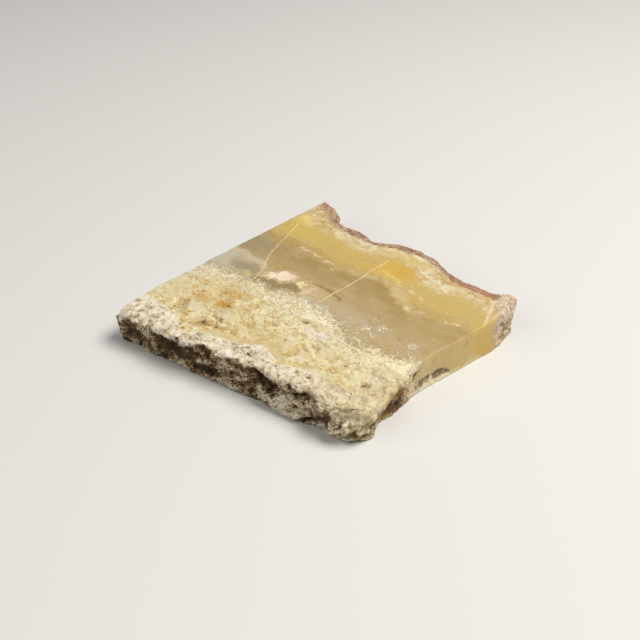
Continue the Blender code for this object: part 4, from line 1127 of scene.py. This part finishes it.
    crust = g.mix(g.mul(blot(YZ, -5.6, 2.7, 3.7, 2.5, -0.10, 0.5, 0.94), right_end), crust, rgb(170, 128, 48))
    # painted shade: the dark centre of the hollow
    crust = g.mix(g.mul(blot(YZ, -5.2, 1.6, 2.5, 1.6, -0.25, 0.5, 0.95), right_end), crust, rgb(82, 47, 14))
    # painted light: the lit orange foot of the hollow
    crust = g.mix(g.mul(blot(YZ, -3.1, 0.5, 0.8, 0.7, -0.5, 0.4, 0.80), right_end), crust, rgb(186, 138, 54))
    crust = g.mix(g.mul(blot(YZ, -1.9, 1.4, 0.7, 1.6, 0.0, 0.5, 0.70), right_end), crust, rgb(206, 182, 132))
    crust = g.mix(g.mul(g.mul(right_end, g.step(yr, -4.5, -3.0)), g.step(dust2, 0.02, 0.09)), crust, rgb(252, 242, 222))
    col = g.mix(w_crust, col, crust)

    # ---- the sawn right side: waxy beige turning yellow, its chips and streaks, and a painted glow of light along its lower edge.
    sd = g.ramp(g.math("MULTIPLY_ADD", ys, 1 / 30, 0.25), [
        (0.18, rgb(206, 185, 134)), (0.35, rgb(201, 176, 113)), (0.57, rgb(201, 175, 106)), (0.66, rgb(206, 175, 86)),
        (0.74, rgb(202, 170, 80)), (0.82, rgb(201, 174, 110))])
    sd = g.mix(g.step(cloud, 0.46, 0.62, 0.0, 0.35), sd, rgb(208, 188, 132))
    YZs = g.scaled(g.vec(ys, zs, 0.0))
    sd = g.mix(blot(YZs, 13.2, 2.9, 1.5, 2.6, 0.0, 0.6, 0.65), sd, rgb(200, 170, 72))
    sd = g.mix(blot(YZs, 13.7, 0.6, 1.5, 0.9, 0.0, 0.6, 0.65), sd, rgb(206, 162, 84))
    sd = g.mix(blot(YZ, 9.1, 4.2, 0.28, 1.0, -0.25, 0.4, 0.65), sd, rgb(156, 126, 66))
    sd = g.mix(blot(YZ, 3.2, 4.5, 0.25, 0.3, 0.0, 0.4, 0.7), sd, rgb(146, 118, 66))
    # painted light: a pale glow along the lower edge, where light scatters out of the opal
    sd = g.mix(g.mul(g.step(zs, 0.25, 0.95, 0.75, 0.0), g.step(ys, 12.0, 13.5, 1.0, 0.0)), sd, rgb(228, 211, 162))
    # The chips' colours from their tone, with painted shade in the cave and pits and painted light under the brow.
    sd = g.mix(g.step(chip, 0.3, 0.7, 0.0, 0.96), sd, g.ramp(g.add(tone_and_shade, g.add(g.mul(g.sub(wn, 0.5), 1.0), g.mul(dust2, 1.1))), [
        (0.05, rgb(82, 58, 32)), (0.22, rgb(124, 98, 72)), (0.42, rgb(156, 130, 98)), (0.62, rgb(198, 178, 132)),
        (0.85, rgb(238, 226, 192))]))
    # painted shade: the right side darker in its hole and cavities
    sd = g.mix(g.step(cavity_shade, 0.35, 0.9, 0.0, 0.85), sd, rgb(98, 68, 32))
    not_rough = g.mul(g.inv(w_crust), g.inv(g.top(w_rust, w_knob)))
    col = g.mix(g.mul(g.mul(side, not_rough), 0.92), col, sd)

    # ---- healed cracks: pale threads across the bands.
    def crack(table, lo, hi, width, most=0.85, kink=0.10):
        d = g.math("ABSOLUTE", g.sub(g.add(x, g.mul(g.sub(xr, x), kink)), g.curve(y, table)))
        ends = g.mul(g.step(y, lo, lo + 2.0), g.step(y, hi - 0.8, hi, most, 0.0))
        beads = g.step(g.noise(P, 2.0, 3, 0.65), 0.38, 0.54, 0.40, 1.0)
        return g.mul(g.mul(g.step(d, width * 0.3, width, 1.0, 0.0), ends), beads)

    threads = g.top(crack(CRACK_A, -4.0, 14.4, 0.15, 0.80), crack(CRACK_B, -4.6, 16.4, 0.14, 0.85))
    threads = g.mul(threads, g.inv(w_crust))
    col = g.mix(threads, col, rgb(240, 219, 170))
    white = g.mul(crack(CRACK_C, 12.2, 19.6, 0.34, 0.75, 0.25), g.inv(side))
    col = g.mix(white, col, rgb(228, 211, 182))

    # ---- glints: hard bright flecks where the grains meet the smooth stone.
    crowd = g.top(blot(S2, 10.2, 0.8, 2.7, 2.9, 0.3, 0.6), g.top(blot(S2, 17.0, 1.4, 2.0, 2.0, 0.0, 0.6),
                  blot(S2, 4.0, -0.8, 6.0, 1.2, -0.1, 0.6, 0.8)))
    gl = g.cell(g.shifted(Pr, (3.0, 9.0, 2.0)), 2.0)
    glint = g.mul(g.step(gl, 0.20, 0.32, 1.0, 0.0), g.mul(g.step(g.noise(P, 1.0, 3, 0.6), 0.45, 0.52), crowd))
    rare = g.mul(g.step(g.cell(P, 0.95), 0.06, 0.12, 1.0, 0.0), g.step(g.noise(P, 0.5, 2, 0.5), 0.52, 0.60))
    glint = g.mul(g.top(glint, g.mul(rare, 0.7)), g.inv(w_crust))
    needle = g.math("ABSOLUTE", g.sub(g.noise(g.scaled(P, (1.0, 0.8, 1.0), (4.0, 9.0, 1.0)), 1.7, 2, 0.5, 0.6), 0.5))
    needle = g.mul(g.step(needle, 0.006, 0.022, 1.0, 0.0), g.mul(g.step(clump, 0.46, 0.56), crowd))
    glint = g.top(glint, g.mul(needle, 0.9))
    star = g.math("ABSOLUTE", g.sub(g.noise(g.shifted(P, (6.0, 1.0, 7.0)), 2.6, 1, 0.5, 0.3), 0.5))
    stars = g.top(blot(R2, 9.3, 0.5, 0.75, 0.60, 0.0, 0.3), g.top(blot(R2, 11.0, 1.7, 0.90, 0.55, 0.5, 0.3),
                  g.top(blot(R2, 12.0, -0.4, 0.50, 0.40, 0.0, 0.3), blot(R2, 16.9, 1.9, 0.80, 0.45, 0.3, 0.3))))
    glint = g.top(glint, g.mul(g.step(star, 0.020, 0.055, 1.0, 0.0), stars))
    col = g.mix(g.mul(glint, 0.95), col, rgb(254, 250, 236))

    g.put(p.inputs["Base Color"], col)

    # Gloss: waxy where the stone is smooth, dull where it is chalk.
    scuff = g.noise(P, 1.4, 4, 0.6)
    rough = g.step(scuff, 0.3, 0.7, 0.24, 0.40)
    rough = g.blend(w_rim, rough, 0.46)
    rough = g.blend(w_grain, rough, g.step(gn, 0.40, 0.60, 0.60, 0.42))
    rough = g.blend(w_porous, rough, 0.56)
    rough = g.blend(g.top(w_rust, w_knob), rough, 0.66)
    rough = g.blend(w_crust, rough, g.step(xr, 9.0, 20.0, 0.88, 0.42))
    rough = g.blend(g.mul(glint, 0.9), rough, 0.14)
    g.put(p.inputs["Roughness"], rough)
    p.inputs["IOR"].default_value = 1.45

    # Light soaks into the opal, hardly into the chalk.
    soak = g.blend(w_rim, 0.62, 0.46)
    soak = g.blend(w_grain, soak, 0.28)
    soak = g.blend(w_porous, soak, 0.22)
    soak = g.blend(g.top(w_rust, w_knob), soak, 0.20)
    soak = g.blend(w_crust, soak, g.step(x, 9.0, 16.0, 0.03, 0.22))
    g.put(p.inputs["Subsurface Weight"], soak)
    p.inputs["Subsurface Radius"].default_value = (1.0, 0.68, 0.32)
    p.inputs["Subsurface Scale"].default_value = 0.0014

    # Fine grain, too small for the mesh, in mm.
    b_smooth = g.mul(g.noise(P, 1.2, 2, 0.5), 0.004)
    b_grain = g.add(g.mul(g.noise(P, 4.6, 3, 0.7), 0.12), g.mul(gn, 0.12))
    b_porous = g.add(g.mul(fl, 0.36), g.mul(g.noise(P, 4.0, 4, 0.72), 0.06))
    b_porous = g.add(b_porous, g.mul(thread, 0.025))
    b_crust = g.add(g.mul(g.noise(P, 4.5, 4, 0.75), 0.26), g.mul(g.cell(P, 3.6), 0.07))
    b_crust = g.mul(g.add(b_crust, g.mul(beneath, g.mul(wn, 0.45))), g.step(xr, 16.0, 19.5, 1.0, 0.40))
    b_skin = g.mul(g.noise(P, 4.2, 4, 0.72), 0.14)
    h = g.blend(w_rim, b_smooth, g.mul(b_skin, 0.4))
    h = g.blend(w_grain, h, b_grain)
    h = g.blend(w_porous, h, b_porous)
    h = g.blend(g.top(w_rust, w_knob), h, b_skin)
    h = g.blend(w_crust, h, b_crust)
    h = g.add(h, g.mul(glint, 0.05))
    bump = tree.nodes.new("ShaderNodeBump")
    bump.inputs["Strength"].default_value = 0.9
    bump.inputs["Distance"].default_value = 0.001
    g.put(bump.inputs["Height"], h)
    g.put(p.inputs["Normal"], bump.outputs[0])
    print("stone material: %d nodes" % len(tree.nodes))
    return m


def camera():
    """Where the slab is seen from: over its front right corner, 37 degrees up."""
    cam = bpy.data.cameras.new("view")
    cam.sensor_width = 36.0
    cam.lens = 900.0 / 640.0 * 36.0
    obj = bpy.data.objects.new("view", cam)
    shift = Vector((MIDDLE[0] * MM, MIDDLE[1] * MM, 0.0))
    eye = Vector((0.07754, -0.07803, 0.08558)) - shift
    look = Vector((-0.00231, 0.00272, 0.0)) - shift
    obj.location = eye
    obj.rotation_mode = "QUATERNION"
    obj.rotation_quaternion = (look - eye).to_track_quat("-Z", "Y")
    cam.clip_start, cam.clip_end = 0.005, 20.0
    bpy.context.scene.collection.objects.link(obj)
    bpy.context.scene.camera = obj


def area(name, size, power, location, target, colour):
    lamp = bpy.data.lights.new(name, "AREA")
    lamp.shape = "RECTANGLE"
    lamp.size, lamp.size_y = size
    lamp.energy = power
    lamp.color = colour
    obj = bpy.data.objects.new(name, lamp)
    obj.location = location
    obj.rotation_mode = "QUATERNION"
    obj.rotation_quaternion = (Vector(target) - Vector(location)).to_track_quat("-Z", "Y")
    bpy.context.scene.collection.objects.link(obj)
    return obj


def studio():
    mesh = bpy.data.meshes.new("floor")
    r = 1.6
    mesh.from_pydata([(-r, -r, 0), (r, -r, 0), (r, r, 0), (-r, r, 0)], [], [(0, 1, 2, 3)])
    floor = bpy.data.objects.new("floor", mesh)
    floor.location.z = -0.00002
    bpy.context.scene.collection.objects.link(floor)
    m = bpy.data.materials.new("floor_paper")
    m.use_nodes = True
    p = m.node_tree.nodes["Principled BSDF"]
    p.inputs["Base Color"].default_value = (0.70, 0.695, 0.68, 1)
    p.inputs["Roughness"].default_value = 0.85
    mesh.materials.append(m)
    area("key", (0.26, 0.20), 2.15, (0.17, 0.13, 0.38), (0, 0, 0), (1.0, 0.965, 0.91))
    area("fill", (0.40, 0.30), 0.60, (-0.10, -0.34, 0.30), (0, 0, 0), (1.0, 0.975, 0.93))
    world = bpy.data.worlds.new("room")
    world.use_nodes = True
    world.node_tree.nodes["Background"].inputs[0].default_value = (0.85, 0.88, 0.92, 1)
    world.node_tree.nodes["Background"].inputs[1].default_value = 0.15
    bpy.context.scene.world = world
    bpy.context.scene.view_settings.view_transform = "Standard"
    bpy.context.scene.view_settings.look = "None"


camera()
studio()
piece = stone()
piece.data.materials.clear()
piece.data.materials.append(opal())
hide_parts("slab")
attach(piece, "root")
